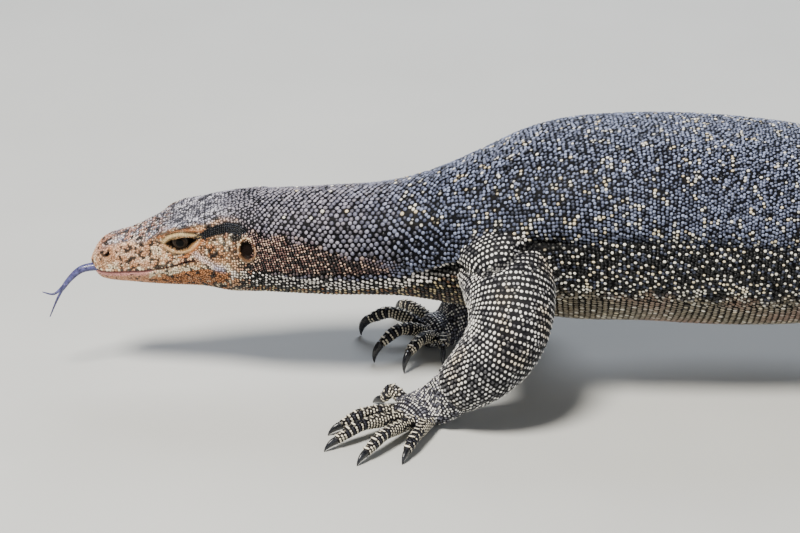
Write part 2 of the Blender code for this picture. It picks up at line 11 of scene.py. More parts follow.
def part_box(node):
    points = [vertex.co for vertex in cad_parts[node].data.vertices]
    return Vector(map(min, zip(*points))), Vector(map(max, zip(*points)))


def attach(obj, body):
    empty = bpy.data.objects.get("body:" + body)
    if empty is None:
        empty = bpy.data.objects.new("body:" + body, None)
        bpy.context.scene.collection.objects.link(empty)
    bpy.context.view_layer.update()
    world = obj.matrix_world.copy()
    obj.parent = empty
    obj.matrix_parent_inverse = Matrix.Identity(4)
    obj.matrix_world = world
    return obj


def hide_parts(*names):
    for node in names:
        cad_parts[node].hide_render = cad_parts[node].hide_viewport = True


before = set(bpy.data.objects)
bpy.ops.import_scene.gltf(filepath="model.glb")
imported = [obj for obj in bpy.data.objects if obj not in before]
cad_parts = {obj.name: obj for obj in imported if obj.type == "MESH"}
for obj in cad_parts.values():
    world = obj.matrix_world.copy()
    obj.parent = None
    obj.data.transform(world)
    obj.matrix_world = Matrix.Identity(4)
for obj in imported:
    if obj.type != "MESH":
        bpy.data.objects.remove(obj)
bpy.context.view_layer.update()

mm = 0.001
dice = np.random.default_rng(20)

# Sizes are in mm in the animal's own frame: snout tip at x 0, midline at y 0, floor at z 0.
# Its left side faces -y.
napeX = 128  # where the head ends and the neck's box begins
neckZ = 107  # the neck's middle
neckLow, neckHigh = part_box("neck")
frameShift = np.array([neckLow.x / mm - napeX, (neckLow.y + neckHigh.y) / 2 / mm, 0.0])

body = {
    # x, y, z of the middle, half width, half height above and below
    "stations": [
        (128, 0, 107, 36, 39, 38),
        (178, 0, 107, 40, 40.5, 40),
        (231, 0, 109, 43, 43, 43),
        (268, 0, 112, 51, 50.5, 52),
        (306, 0, 117, 63, 61, 64),
        (351, 2, 124, 77, 71, 74),
        (411, 5, 126, 84, 73.5, 77),
        (471, 7, 121, 85, 75.5, 76),
        (531, 6, 117, 80, 72, 72),
        (590, 2, 110, 68, 63, 60),
        (645, -6, 103, 55, 54, 50),
        (690, -15, 97, 47, 48, 44),
        (742, -28, 87, 38, 41, 38),
        (800, -42, 72, 32, 37, 35),
        (900, -62, 45, 25, 32, 30),
        (985, -68, 29, 21, 29, 29.4),
        (1110, -52, 24.5, 17, 26, 24.9),
        (1300, 26, 19, 11.5, 20, 19.4),
        (1480, 78, 13, 7, 14, 13.4),
        (1640, 62, 8, 4, 8.5, 8.4),
        (1765, 14, 2.6, 1.4, 2.6, 3.0),
    ],
    "round": 2.15,
    "vent": 12,  # station where the tail's crest starts
    "crestRise": 200,  # it grows to its full height over this length
    "crestHeight": 0.10,
    "crestWidth": 0.30,
    "inset": 0.45,  # the skin lies this far inside the tops of the scales
}

head = {
    "z": 88,
    # at each x: half widths and heights, over the mouth's level, of the edges from crown to throat
    "x": (0, 11, 32, 50, 68, 86, 106, 128),
    "crown": ((0, 0, 0, 0, 0, 0, 0, 0), (12, 20.5, 28, 36, 41.8, 49.5, 54.5, 58)),
    "crownEdge": ((4, 7, 8, 10, 12, 13.5, 14.5, 17), (11, 19.6, 27.2, 35.4, 42.4, 50, 54, 55.2)),
    "brow": ((7.5, 10.5, 12.5, 16, 21.5, 22, 24, 28), (8, 16, 23.8, 32.5, 42, 44.5, 46, 45.5)),
    "orbit": ((8.6, 12, 14.2, 16.6, 19.8, 23.2, 27, 32.5), (6, 13, 18.6, 24.5, 31, 34, 36, 36.5)),
    "cheek": ((9, 12.8, 15.5, 18, 21, 26.5, 31, 35.2), (3.5, 9.5, 13.5, 17.5, 22, 25, 26, 27)),
    "lip": ((8.6, 12.8, 16.2, 19.4, 23, 27.8, 31.8, 36), (-1.6, 0, 1.4, 4.8, 10.8, 17.5, 16, 16)),
    "jaw": ((7, 11.4, 15, 18, 21.6, 26, 30.5, 34.4), (-5.5, -4.5, -3.5, -2, 1, 3, 3, 4)),
    "chin": ((4, 6.5, 9, 11.5, 14, 17.5, 21, 21.6), (-8.6, -10.8, -12, -12.2, -11.5, -10.5, -12.5, -12.5)),
    "throat": ((0, 0, 0, 0, 0, 0, 0, 0), (-10, -12.4, -13.5, -13.6, -13, -12.5, -15.5, -19)),
    "snoutRound": 9,
    "snoutZ": 3.0,
    "roll": math.radians(-9),
    "rollAxis": 107,
    "rollEase": 40,  # the roll dies away over this length ahead of the nape
    "mouth": ((-4, 2, 18, 40, 61, 75.5, 88), (-2.3, -2.3, -0.7, 2.2, 8.4, 15.4, 18)),
    "ear": {"x": 118, "z": 25.2, "long": 7.6, "wide": 5.2, "tilt": math.radians(-12)},
    "nostril": {"x": 13, "z": 13.2, "long": 2.9, "wide": 1.7, "tilt": math.radians(35)},
    "sideY": 12,  # beyond this lie the eyes and ears
    "inset": 0.3,
}

eye = {
    "x": 69, "y": 11.8, "z": 28.8, "radius": 9.6,
    # x and z of the rims of the two lids, and of the folds of skin over and under them
    "upperRim": [(57.4, 26.4), (62.2, 30.6), (68, 33.0), (74, 33.5), (80.2, 32.6)],
    "lowerRim": [(57.4, 26.4), (62, 24.0), (68, 23.5), (74.6, 26.6), (80.2, 32.6)],
    "upperFold": [(55.4, 28.0), (60.6, 33.7), (67.2, 36.6), (74.8, 37.0), (83.5, 35.0)],
    "browFold": [(51.5, 31.6), (59.0, 37.4), (66, 40.2), (76, 41.0), (86, 40.4)],
    "lowerFold": [(56.2, 24.4), (61, 21.8), (67, 21.0), (74, 23.7), (82.5, 31.0)],
    "cheekFold": [(55.5, 19.2), (62, 17.2), (70.5, 18.2), (78, 24.4), (85, 33.0)],
}

tongue = {
    "stem": [(11, 0, 85.6), (0, -1, 85.8), (-8, -2, 84), (-16, -3, 77.5), (-23, -4, 68.5)],
    "tips": {-1: [(-29, -7, 66), (-37, -10, 69)], 1: [(-27, -2, 59.5), (-33.5, 1, 43.6)]},
    "radii": (3.6, 3.4, 3.0, 2.4, 1.9),
    "tipRadii": (1.4, 0.5),
}

# Each toe: how far ahead of and in from the palm it roots, its angle, length and arch.
# Each claw: its length, then its pitch in degrees at the root and at the tip.
limbs = {
    "arm_left": {
        "side": -1, "foot": "hand_left",
        "path": [(303, -20, 112), (310, -73, 103), (314, -103, 79), (295, -103, 50), (270, -96, 27)],
        "radii": (31, 34.5, 34, 31, 28.5, 25, 18.5),
        "palm": (243, -93, 10.4), "heading": 38, "palmSize": (19, 10.8),
        "toes": [(-2, 14, -42, 23, 18), (6, 11, 26, 48, 13), (9, 1, 36, 62, 13),
                 (7, -9, 54, 62, 13), (-3, -14, 70, 52, 11)],
        "toeRadius": (5.8, 4.5), "claw": (13, 8, 55), "tipZ": 6.4,
    },
    "arm_right": {
        "side": 1, "foot": "hand_right",
        "path": [(302, 18, 112), (327, 60, 112), (348, 92, 88), (328, 92, 54), (282, 58, 32)],
        "radii": (30, 33.5, 31.5, 27, 25.5, 23.5, 18.5),
        "palm": (261, 47, 13), "heading": -25, "palmSize": (19, 13.4),
        "toes": [(2, 13, -88, 24, 17), (5, 10, -58, 44, 21), (8, 2, -34, 46, 24),
                 (7, -8, 14, 46, 24), (-2, -14, 52, 40, 18)],
        "toeRadius": (5.9, 4.7), "claw": (16, 35, 100), "tipZ": 14.5,
    },
    "leg_left": {
        "side": -1, "foot": "foot_left", "heel": 15.2,
        "path": [(690, -22, 92), (656, -82, 102), (624, -132, 92), (642, -150, 58), (662, -146, 22)],
        "radii": (36, 42, 36, 27.5, 25, 20, 15.5),
        "palm": (640, -150, 10.6), "heading": 22, "palmSize": (20.5, 11),
        "toes": [(-3, 14, -26, 34, 12), (6, 10, -4, 50, 12), (9, 1, 12, 66, 13),
                 (7, -9, 30, 78, 14), (-8, -15, 76, 48, 12)],
        "toeRadius": (6.0, 4.6), "claw": (14, 8, 55), "tipZ": 6.6,
    },
    "leg_right": {
        "side": 1, "foot": "foot_right", "heel": 15.2,
        "path": [(694, -8, 92), (664, 50, 106), (634, 104, 98), (664, 120, 62), (700, 110, 22)],
        "radii": (36, 42, 36, 27.5, 25, 20, 15.5),
        "palm": (678, 113, 10.6), "heading": 26, "palmSize": (20.5, 11),
        "toes": [(-3, 14, -22, 34, 12), (6, 10, 2, 50, 12), (9, 1, 18, 66, 13),
                 (7, -9, 36, 78, 14), (-8, -15, 80, 48, 12)],
        "toeRadius": (6.0, 4.6), "claw": (14, 8, 55), "tipZ": 6.6,
    },
}
limbBuild = {"rings": 13, "sides": 36, "easing": 5, "inset": 0.5}
toeBuild = {"knuckles": (1.0, 0.94, 1.04, 0.95, 1.02, 0.84), "sides": 16, "steps": 24, "flatten": 0.96}
clawBuild = {
    "taper": (0.80, 0.76, 0.66, 0.50, 0.30, 0.09), "sides": 16, "steps": 20,
    "clearance": 0.3, "flatten": 0.66,
}


# sRGB hex to the linear values that shaders and attributes hold
def paint(code):
    code = code.lstrip("#")
    values = [int(code[i:i + 2], 16) / 255 for i in (0, 2, 4)]
    return np.array([v / 12.92 if v <= 0.04045 else ((v + 0.055) / 1.055) ** 2.4 for v in values])


# Curves, rings and meshes
def curveThrough(keys, values, at):
    keys, values, at = (np.asarray(v, float) for v in (keys, values, at))
    slopes = np.gradient(values, keys, axis=0)
    i = np.clip(np.searchsorted(keys, at, side="right") - 1, 0, len(keys) - 2)
    width = keys[i + 1] - keys[i]
    f = (at - keys[i]) / width
    extra = (1,) * (values.ndim - 1)
    f, width = f.reshape(f.shape + extra), width.reshape(width.shape + extra)
    h = f * f * (3 - 2 * f)
    start = f * (1 - f) ** 2 * width * slopes[i]
    end = f * f * (f - 1) * width * slopes[i + 1]
    return values[i] * (1 - h) + values[i + 1] * h + start + end


def unit(v):
    v = np.asarray(v, float)
    return v / np.maximum(np.linalg.norm(v, axis=-1, keepdims=True), 1e-9)


# Lengths along a line of points, from 0 at its first
def reachOf(points):
    return np.concatenate([[0], np.cumsum(np.linalg.norm(np.diff(points, axis=0), axis=1))])


def spreadAlong(points, count):
    points = np.array(points, float)
    reach = reachOf(points)
    return curveThrough(reach, points, np.linspace(0, reach[-1], count))


# A line of (x, z) points of the side view, spread evenly and as points in space
def sideCurve(line, count):
    return spreadAlong([(x, 0, z) for x, z in line], count)


def shifted(line, up):
    return [(x, z + up) for x, z in line]


# A few values stretched over a count of places
def stretched(values, count):
    return np.interp(np.linspace(0, 1, count), np.linspace(0, 1, len(values)), values)


def turnsOf(sides):
    return 2 * np.pi * np.arange(sides) / sides


# Unit circles round the places of a course, flatten times as wide as they are high
def circles(across, up, sides, flatten=1.0):
    turn = turnsOf(sides)
    wide = across[:, None] * np.cos(turn)[None, :, None] * flatten
    return wide + up[:, None] * np.sin(turn)[None, :, None]


# A skin over rings of points, closed at both ends by a fan: points and faces
def loftOf(rings):
    rings = np.asarray(rings, float)
    rows, sides = rings.shape[:2]
    points = np.vstack([rings.reshape(-1, 3), rings[0].mean(axis=0), rings[-1].mean(axis=0)])
    faces = []
    for r in range(rows - 1):
        for s in range(sides):
            t = (s + 1) % sides
            faces.append((r * sides + s, r * sides + t, (r + 1) * sides + t, (r + 1) * sides + s))
    last = (rows - 1) * sides
    for s in range(sides):
        t = (s + 1) % sides
        faces.append((rows * sides, t, s))
        faces.append((rows * sides + 1, last + s, last + t))
    if signedVolume(points, faces) < 0:
        faces = [face[::-1] for face in faces]
    return points, faces


def joined(parts):
    points, faces, base = [], [], 0
    for somePoints, someFaces in parts:
        points.append(np.asarray(somePoints))
        faces.extend(tuple(base + i for i in face) for face in someFaces)
        base += len(somePoints)
    return np.vstack(points), faces


def toFrame(points):
    return (np.asarray(points) + frameShift) * mm


# A mesh object in the row frame from points in mm, its faces turned outwards where they point in
def newObject(name, points, faces, finish=None, placed=True):
    mesh = bpy.data.meshes.new(name)
    mesh.from_pydata((toFrame(points) if placed else np.asarray(points)).tolist(), [], faces)
    mesh.update()
    if signedVolume(np.asarray(points), faces) < 0:
        mesh.flip_normals()
    mesh.shade_smooth()
    made = bpy.data.objects.new(name, mesh)
    bpy.context.scene.collection.objects.link(made)
    if finish:
        mesh.materials.append(finish)
    return made


def bySize(faces):
    groups = {}
    for face in faces:
        groups.setdefault(len(face), []).append(face)
    return groups.items()


# Six times the volume inside a mesh, below 0 where its faces point in
def signedVolume(points, faces):
    total = 0.0
    for size, group in bySize(faces):
        corners = points[np.array(group)]
        for k in range(1, size - 1):
            total += np.einsum("ij,ij->", corners[:, 0], np.cross(corners[:, k], corners[:, k + 1]))
    return total


# Closed parts fused into one even surface by a voxel remesh, then eased: points, faces and normals
def fused(parts, voxel, passes):
    made = newObject("fusing", *joined(parts), placed=False)
    remesh = made.modifiers.new("remesh", "REMESH")
    remesh.mode = "VOXEL"
    remesh.voxel_size = voxel
    ease = made.modifiers.new("ease", "SMOOTH")
    ease.factor = 0.5
    ease.iterations = passes
    bpy.context.view_layer.update()
    mesh = bpy.data.meshes.new_from_object(made.evaluated_get(bpy.context.evaluated_depsgraph_get()))
    bpy.data.objects.remove(made)
    points = np.empty(len(mesh.vertices) * 3)
    mesh.vertices.foreach_get("co", points)
    normals = np.empty(len(mesh.vertices) * 3)
    mesh.vertex_normals.foreach_get("vector", normals)
    faces = [tuple(p.vertices) for p in mesh.polygons]
    bpy.data.meshes.remove(mesh)
    return points.reshape(-1, 3), faces, normals.reshape(-1, 3)


def normalsOf(points, faces):
    points = np.asarray(points)
    normals = np.zeros_like(points)
    for size, group in bySize(faces):
        index = np.array(group)
        a = points[index[:, 0]]
        face = np.cross(points[index[:, 1]] - a, points[index[:, size - 1]] - a)
        if size == 4:
            face = np.cross(points[index[:, 2]] - a, points[index[:, 3]] - points[index[:, 1]])
        for k in range(size):
            np.add.at(normals, index[:, k], face)
    return unit(normals)


def smoothstep(low, high, v):
    f = np.clip((np.asarray(v, float) - low) / (high - low), 0, 1)
    return f * f * (3 - 2 * f)


def bump(distance, width):
    return np.exp(-((distance / width) ** 2))


# 1 between the inner two of four values, easing to 0 at the outer two
def between(v, start, full, fading, end):
    return smoothstep(start, full, v) * (1 - smoothstep(fading, end, v))


# Signed distance above a line of (x, z) points
def aboveLine(x, z, line):
    line = np.array(line, float)
    level = np.interp(x, line[:, 0], line[:, 1])
    slope = np.gradient(line[:, 1], line[:, 0])
    steep = np.interp(x, line[:, 0], slope)
    return (z - level) / np.sqrt(1 + steep ** 2)


# The body's course
stations = np.array(body["stations"], float)
bodyReach = reachOf(stations[:, :3])


def bodyAt(at):
    return curveThrough(bodyReach, stations, at)


def bodyRing(at, sides, inset=0.0):
    x, y, z, wide, above, below = bodyAt(at)
    along = unit(bodyAt(at + 1)[:3] - bodyAt(at - 1)[:3])
    across = unit(np.cross(along, (0, 0, 1)))
    up = np.cross(across, along)
    turn = turnsOf(sides)
    c, s = np.cos(turn), np.sin(turn)
    high = np.where(s > 0, above, below) - inset
    power = body["round"]
    r = (np.abs(c / (wide - inset)) ** power + np.abs(s / high) ** power) ** (-1 / power)
    rising = np.clip((at - bodyReach[body["vent"]]) / body["crestRise"], 0, 1) * body["crestHeight"]
    lift = np.where(s > 0, 1 + rising * np.exp(-((c / body["crestWidth"]) ** 2)), 1)
    middle = np.array((x, y, z))
    return middle + across * (r * c)[:, None] + up * (r * s * lift)[:, None]


def bodyRings(first, last, step, sides, inset=0.0):
    count = max(3, round((last - first) / step) + 1)
    return np.array([bodyRing(at, sides, inset) for at in np.linspace(first, last, count)])


# The head, upright, then with its roll
headKeys = ("crownEdge", "brow", "orbit", "cheek", "lip", "jaw", "chin")
headSteps = (5, 5, 4, 4, 4, 4, 5, 5)


def headValue(part, axis, x):
    return float(curveThrough(head["x"], head[part][axis], x))


# x, y and z of points of the upright head, z from the mouth's level
def onHead(points):
    return points[:, 0], points[:, 1], points[:, 2] - head["z"]


def headHalf(x):
    key = [(headValue(part, 0, x), headValue(part, 1, x)) for part in ("crown", *headKeys, "throat")]
    points = np.array([(-key[1][0], key[1][1]), *key, (-key[-2][0], key[-2][1])], float)
    reach = reachOf(points)
    found = []
    for i, count in enumerate(headSteps):
        at = np.linspace(reach[i + 1], reach[i + 2], count, endpoint=False)
        found.extend(curveThrough(reach, points, at))
    found.append(points[-2])
    return np.array(found)


def headRing(x, inset=0.0):
    half = headHalf(x)
    ring = np.vstack([half, half[-2:0:-1] * (-1, 1)])
    roundOff = 1.0
    if x < head["snoutRound"]:
        roundOff = math.sqrt(max(0.0, 1 - (1 - x / head["snoutRound"]) ** 2))
    middle = np.array((0.0, head["snoutZ"]))
    ring = middle + (ring - middle) * roundOff
    if inset:
        centre = ring.mean(axis=0)
        out = ring - centre
        size = np.linalg.norm(out, axis=1, keepdims=True)
        ring = centre + out * np.maximum(0, 1 - inset / np.maximum(size, 1e-6))
    return np.column_stack([np.full(len(ring), x), ring[:, 0], ring[:, 1] + head["z"]])


def headPlaces(last, step):
    r = head["snoutRound"]
    start = [r * (1 - math.cos(a)) for a in np.linspace(0.12, math.pi / 2, 9)]
    return [*start, *np.arange(r + step, last, step), last]


def rolled(points):
    points = np.asarray(points, float)
    ease = np.clip((napeX - points[:, 0]) / head["rollEase"], 0, 1)
    angle = head["roll"] * ease * ease * (3 - 2 * ease)
    c, s = np.cos(angle), np.sin(angle)
    y, up = points[:, 1], points[:, 2] - head["rollAxis"]
    return np.column_stack([points[:, 0], y * c + up * s, head["rollAxis"] - y * s + up * c])


# Rings along a path, as high as the radius and flatten times as wide
def tubeRings(path, radii, sides, flatten=1.0, frameUp=(0, 0, 1)):
    path = np.asarray(path, float)
    near, far = np.vstack([path[:1], path[:-1]]), np.vstack([path[1:], path[-1:]])
    along = unit(far - near)
    across = unit(np.cross(along, frameUp))
    up = np.cross(across, along)
    return path[:, None] + circles(across, up, sides, flatten) * np.asarray(radii, float)[:, None, None]


# A limb's middle line, radii and frames, as the solids have them
def limbCourse(spec):
    count = limbBuild["rings"]
    points = spreadAlong(spec["path"], count)
    for _ in range(limbBuild["easing"]):
        points[1:-1] = (points[:-2] + 2 * points[1:-1] + points[2:]) / 4
    radii = curveThrough(np.linspace(0, 1, len(spec["radii"])), spec["radii"], np.linspace(0, 1, count))
    across, acrosses, ups = None, [], []
    for i in range(count):
        along = unit(points[min(i + 2, count - 1)] - points[max(i - 2, 0)])
        if across is None:
            across = np.cross(along, (0, 0, 1))
        across = unit(across - along * across.dot(along))
        acrosses.append(across)
        ups.append(np.cross(across, along))
    return points, radii, np.array(acrosses), np.array(ups)


def limbRings(spec, count, sides, inset=0.0):
    points, radii, acrosses, ups = limbCourse(spec)
    keys = np.arange(len(points))
    at = np.linspace(0, len(points) - 1, count)
    middle = curveThrough(keys, points, at)
    radius = curveThrough(keys, radii, at) - inset
    across = unit(curveThrough(keys, acrosses, at))
    up = unit(curveThrough(keys, ups, at))
    return middle[:, None] + circles(across, up, sides) * radius[:, None, None]


# Rings of the ball that rounds the ankle, on from the limb's last ring
def heelRings(spec, first, last, sides, inset=0.0):
    points = limbCourse(spec)[0]
    end = limbRings(spec, 2, sides, inset)[-1]
    middle = end.mean(axis=0)
    along = unit(points[-1] - points[-3]) * (spec["heel"] - inset)
    angles = np.linspace(first, last, 12)
    return np.array([middle + along * math.sin(a) + (end - middle) * math.cos(a) for a in angles])


def headingOf(spec):
    angle = math.radians(spec["heading"])
    return np.array((-math.cos(angle), spec["side"] * math.sin(angle), 0.0))


# The ring's points in the order that lies nearest the target's
def matched(ring, target):
    best, least = ring, 1e18
    for way in (ring, ring[::-1]):
        for k in range(len(ring)):
            order = np.roll(way, -k, axis=0)
            total = ((order - target) ** 2).sum()
            if total < least:
                best, least = order, total
    return best


def palmRings(spec, sides, inset=0.0):
    wrist, palm = np.array(spec["path"][-1], float), np.array(spec["palm"], float)
    ahead = headingOf(spec)
    wide, high = spec["palmSize"]
    root = spec["radii"][-1]
    knuckle = palm + ahead * 13
    knuckle[2] = high * 0.62
    across = np.cross(ahead, (0, 0, 1))
    first = unit(palm - wrist)
    wristAcross = unit(across - first * across.dot(first))
    stages = [
        (wrist + (palm - wrist) * 0.45 + (0, 0, -2.5), root * 0.93, (root + high) / 2, 0.5),
        (palm - ahead * 5, wide, high, 0.15),
        (palm + ahead * 5, wide * 0.96, high * 0.9, 0.0),
        (knuckle, wide * 0.6, high * 0.55, 0.0),
    ]
    turn = turnsOf(sides)
    rings = []
    for middle, halfWidth, halfHeight, tilt in stages:
        sideWay = unit(across + (wristAcross - across) * tilt) * (halfWidth - inset)
        straight = np.array((0, 0, 1.0))
        up = unit(straight + (np.cross(wristAcross, first) - straight) * tilt) * (halfHeight - inset)
        rings.append(middle + np.outer(np.cos(turn), sideWay) + np.outer(np.sin(turn), up))
    chain = [limbRings(spec, 2, sides, inset)[-1]]
    for ring in rings:
        chain.append(matched(ring, chain[-1]))
    keys = np.arange(len(chain))
    return curveThrough(keys, np.array(chain), np.linspace(0, len(chain) - 1, 17))


def toeCourse(spec, toe, count):
    forward, inwards, angle, length, arch = toe
    heading, side = math.radians(spec["heading"]), spec["side"]
    ahead = headingOf(spec)
    inner = np.array((-math.sin(heading), -side * math.cos(heading), 0.0))
    root = np.array(spec["palm"], float) + ahead * forward + inner * inwards
    turn = math.radians(angle)
    way = np.array((-math.cos(turn), side * math.sin(turn), 0.0))
    share = np.linspace(0, 1, count)
    heights = (spec["palm"][2] * 0.82, arch * 0.86, arch * 0.92, spec["tipZ"])
    points = root + way * (length * share)[:, None]
    points[:, 2] = curveThrough((0, 0.42, 0.66, 1), heights, share)
    return points, way


def toeRadii(spec, count, inset=0.0):
    return stretched(toeBuild["knuckles"], count) * np.linspace(*spec["toeRadius"], count) - inset


def toeRings(spec, toe, count, sides, inset=0.0):
    points = toeCourse(spec, toe, count)[0]
    return tubeRings(points, toeRadii(spec, count, inset), sides, toeBuild["flatten"])


# Skin of the body: trunk and limbs fused, feet fused finer, the tail lofted on
print("skin of the body")
skinBuild = {"trunkVoxel": 3.1, "footVoxel": 1.5, "headVoxel": 0.85, "tailFrom": 870, "trunkTo": 905}


def reachAt(x):
    return float(np.interp(x, stations[:, 0], bodyReach))


nape = bodyRing(0, 64, 4.0)
trunkRings = np.concatenate([
    (nape - (7, 0, 0))[None],
    bodyRings(0, reachAt(skinBuild["trunkTo"]), 8, 64, body["inset"]),
])
trunkParts = [loftOf(trunkRings)]
footParts = []
for limbName, spec in limbs.items():
    trunkParts.append(loftOf(limbRings(spec, 27, limbBuild["sides"], limbBuild["inset"])))
    palm = palmRings(spec, 24, limbBuild["inset"])
    inside = palm[0] + (palm[0].mean(axis=0) - palm[0]) * 0.12
    backward = unit(limbCourse(spec)[0][-2] - limbCourse(spec)[0][-1]) * 6
    parts = [loftOf(np.concatenate([(inside + backward)[None], palm[1:]]))]
    if "heel" in spec:
        parts.append(loftOf(heelRings(spec, -1.0, 1.5, 32, limbBuild["inset"])))
    for toe in spec["toes"]:
        parts.append(loftOf(toeRings(spec, toe, toeBuild["steps"], toeBuild["sides"], limbBuild["inset"])))
    footParts.append(fused(parts, skinBuild["footVoxel"], 2))
trunkSkin = fused(trunkParts, skinBuild["trunkVoxel"], 9)


# Folds pressed into the trunk's skin, as depth and width in mm along lines of x and z
folds = {
    "antehumeral": {
        "line": [(236, 95), (253, 100), (271, 108), (292, 121), (318, 133), (352, 136)],
        "deep": 5.0, "wide": 3.4, "swell": 2.2,
    },
    "lateral": {
        "line": [(335, 133.5), (404, 138), (476, 134), (540, 129), (600, 120), (650, 112)],
        "deep": 2.6, "wide": 3.0, "swell": 1.2,
    },
    "gular": {"line": [(112, 93), (140, 90), (165, 86), (190, 84)], "deep": 1.6, "wide": 2.6, "swell": 1.0},
}
creases = {"x": (222, 231, 243, 256), "tilt": 0.18, "low": 88, "high": 138, "deep": 0.9, "wide": 1.7}


def foldDepth(points):
    x, z = points[:, 0], points[:, 2]
    depth = np.zeros(len(points))
    for fold in folds.values():
        line = fold["line"]
        d = aboveLine(x, z, line)
        within = between(x, line[0][0] - 8, line[0][0] + 14, line[-1][0] - 25, line[-1][0] + 6)
        depth -= within * fold["deep"] * bump(d, fold["wide"])
        depth += within * fold["swell"] * bump(d - 2.6 * fold["wide"], 2 * fold["wide"])
    for i, start in enumerate(creases["x"]):
        d = x - start - creases["tilt"] * (z - neckZ) - 1.5 * np.sin(z / 9 + i)
        within = between(z, creases["low"] - 8, creases["low"] + 6, creases["high"] - 14, creases["high"])
        depth -= within * creases["deep"] * bump(d, creases["wide"])
    return depth


points, faces, normals = trunkSkin
overFloor = smoothstep(2, 14, points[:, 2])
points = points + normals * (foldDepth(points) * overFloor)[:, None]
trunkSkin = points, faces, normals
tailRings = bodyRings(reachAt(skinBuild["tailFrom"]), bodyReach[-1], 6, 40, body["inset"])
tailSkin = loftOf(tailRings)
skinParts = [trunkSkin[:2], tailSkin] + [foot[:2] for foot in footParts]
skinPoints, skinFaces = joined(skinParts)
skinPoints[:, 2] = np.maximum(skinPoints[:, 2], 0.25)
print("  skin", len(skinPoints), "points")


# Skin of the head, upright: skull, lids and folds fused, then its openings pressed in
print("skin of the head")


# Where the side of the upright head is at x and z
def headSide(x, z):
    ring = headRing(x)
    half = ring[: len(ring) // 2 + 1]
    level = half[:, 2] - head["z"]
    side = half[(level < headValue("crownEdge", 1, x)) & (level > headValue("chin", 1, x) + 1)]
    order = np.argsort(side[:, 2])
    return float(np.interp(z + head["z"], side[order, 2], side[order, 1]))


def eyeSide(x, z, proud):
    flat = (x - eye["x"]) ** 2 + (z - eye["z"]) ** 2
    return eye["y"] + math.sqrt(max(0.0, (eye["radius"] + proud) ** 2 - flat))


def lidTube(line, radius, onEye, side, sink=0.0):
    path = sideCurve(line, 18)
    share = np.linspace(-1, 1, len(path))
    for i, (x, _, z) in enumerate(path):
        out = eyeSide(x, z, 0.2) if onEye else headSide(x, z) - sink
        if onEye:
            out = max(out, headSide(x, z) - 0.6)
        path[i] = (x, out, z + head["z"])
    radii = radius * (1 - 0.55 * np.abs(share) ** 2.4)
    path[:, 1] *= side
    return loftOf(tubeRings(path, radii, 10, frameUp=(0, 1, 0)))


# Each lid or fold: radius, whether it lies on the eyeball, and how deep it is sunk where it doesn't
lidTubes = {
    "upperRim": (1.35, True, 0.0),
    "lowerRim": (1.15, True, 0.0),
    "upperFold": (1.6, False, 0.5),
    "browFold": (1.4, False, 0.6),
    "lowerFold": (0.95, False, 0.4),
    "cheekFold": (1.1, False, 0.7),
}
headEnd = headRing(napeX, head["inset"])
headEnds = []
for far, shrink in ((4, 0.985), (9, 0.93)):
    headEnds.append((headEnd - headEnd.mean(axis=0)) * shrink + headEnd.mean(axis=0) + (far, 0, 0))
headParts = [loftOf([headRing(x, head["inset"]) for x in headPlaces(napeX, 2.0)] + headEnds)]
for side in (-1, 1):
    for name, (radius, onEye, sink) in lidTubes.items():
        headParts.append(lidTube(eye[name], radius, onEye, side, sink))
headPoints, headFaces, headNormals = fused(headParts, skinBuild["headVoxel"], 2)


def mouthLevel(x):
    return np.interp(x, *head["mouth"])


def inOval(x, z, oval):
    dx, dz = x - oval["x"], z - oval["z"]
    c, s = math.cos(oval["tilt"]), math.sin(oval["tilt"])
    return np.sqrt(((dx * s + dz * c) / oval["long"]) ** 2 + ((dx * c - dz * s) / oval["wide"]) ** 2)


# How far inside the eye's opening a point of the side view lies: above 0 inside, in mm
def openingDepth(x, z):
    low, high = (np.interp(x, *sideCurve(eye[rim], 24)[:, [0, 2]].T) for rim in ("lowerRim", "upperRim"))
    ends = np.minimum(x - eye["lowerRim"][0][0], eye["lowerRim"][-1][0] - x)
    return np.minimum(np.minimum(z - low, high - z), ends)


# How deep the mouth, ear, nostril and eyeball lie under the head's surface,
# and how far the lips and rims stand proud
press = {
    "mouth": 1.5, "upperLip": 0.55, "lowerLip": 0.45, "ear": 3.2, "earRim": 0.9,
    "nostril": 2.0, "nostrilRim": 0.75, "eyeball": 1.6,
}


def pressHead(points, normals):
    x, y, z = onHead(points)
    aside = np.abs(y)
    steps = np.arange(-4, 89)
    steep = np.interp(x, steps, np.gradient(mouthLevel(steps)))
    d = (z - mouthLevel(x)) / np.sqrt(1 + steep ** 2)
    along = 1 - smoothstep(76, 84, x)
    lips = press["upperLip"] * bump(d - 2.1, 1.3) + press["lowerLip"] * bump(d + 2.0, 1.2)
    depth = -press["mouth"] * bump(d, 0.75) * along + lips * along * smoothstep(1, 8, x)
    ear, nostril = inOval(x, z, head["ear"]), inOval(x, z, head["nostril"])
    rim = press["earRim"] * bump(ear - 1.12, 0.16)
    depth += smoothstep(5, 9, aside) * (rim - press["ear"] * (1 - smoothstep(0.72, 1.02, ear)))
    rim = press["nostrilRim"] * bump(nostril - 1.5, 0.5)
    depth += smoothstep(3, 6, aside) * (rim - press["nostril"] * (1 - smoothstep(0.7, 1.1, nostril)))
    moved = points + normals * depth[:, None]
    opening = openingDepth(x, z)
    inside = (opening > -0.25) & (aside > head["sideY"])
    globe = (eye["radius"] - press["eyeball"]) ** 2 - (x - eye["x"]) ** 2 - (z - eye["z"]) ** 2
    pressed = np.sign(y) * np.minimum(np.abs(moved[:, 1]), eye["y"] + np.sqrt(np.maximum(0, globe)))
    share = smoothstep(-0.25, 0.5, opening)
    moved[:, 1] = np.where(inside, moved[:, 1] * (1 - share) + pressed * share, moved[:, 1])
    return moved


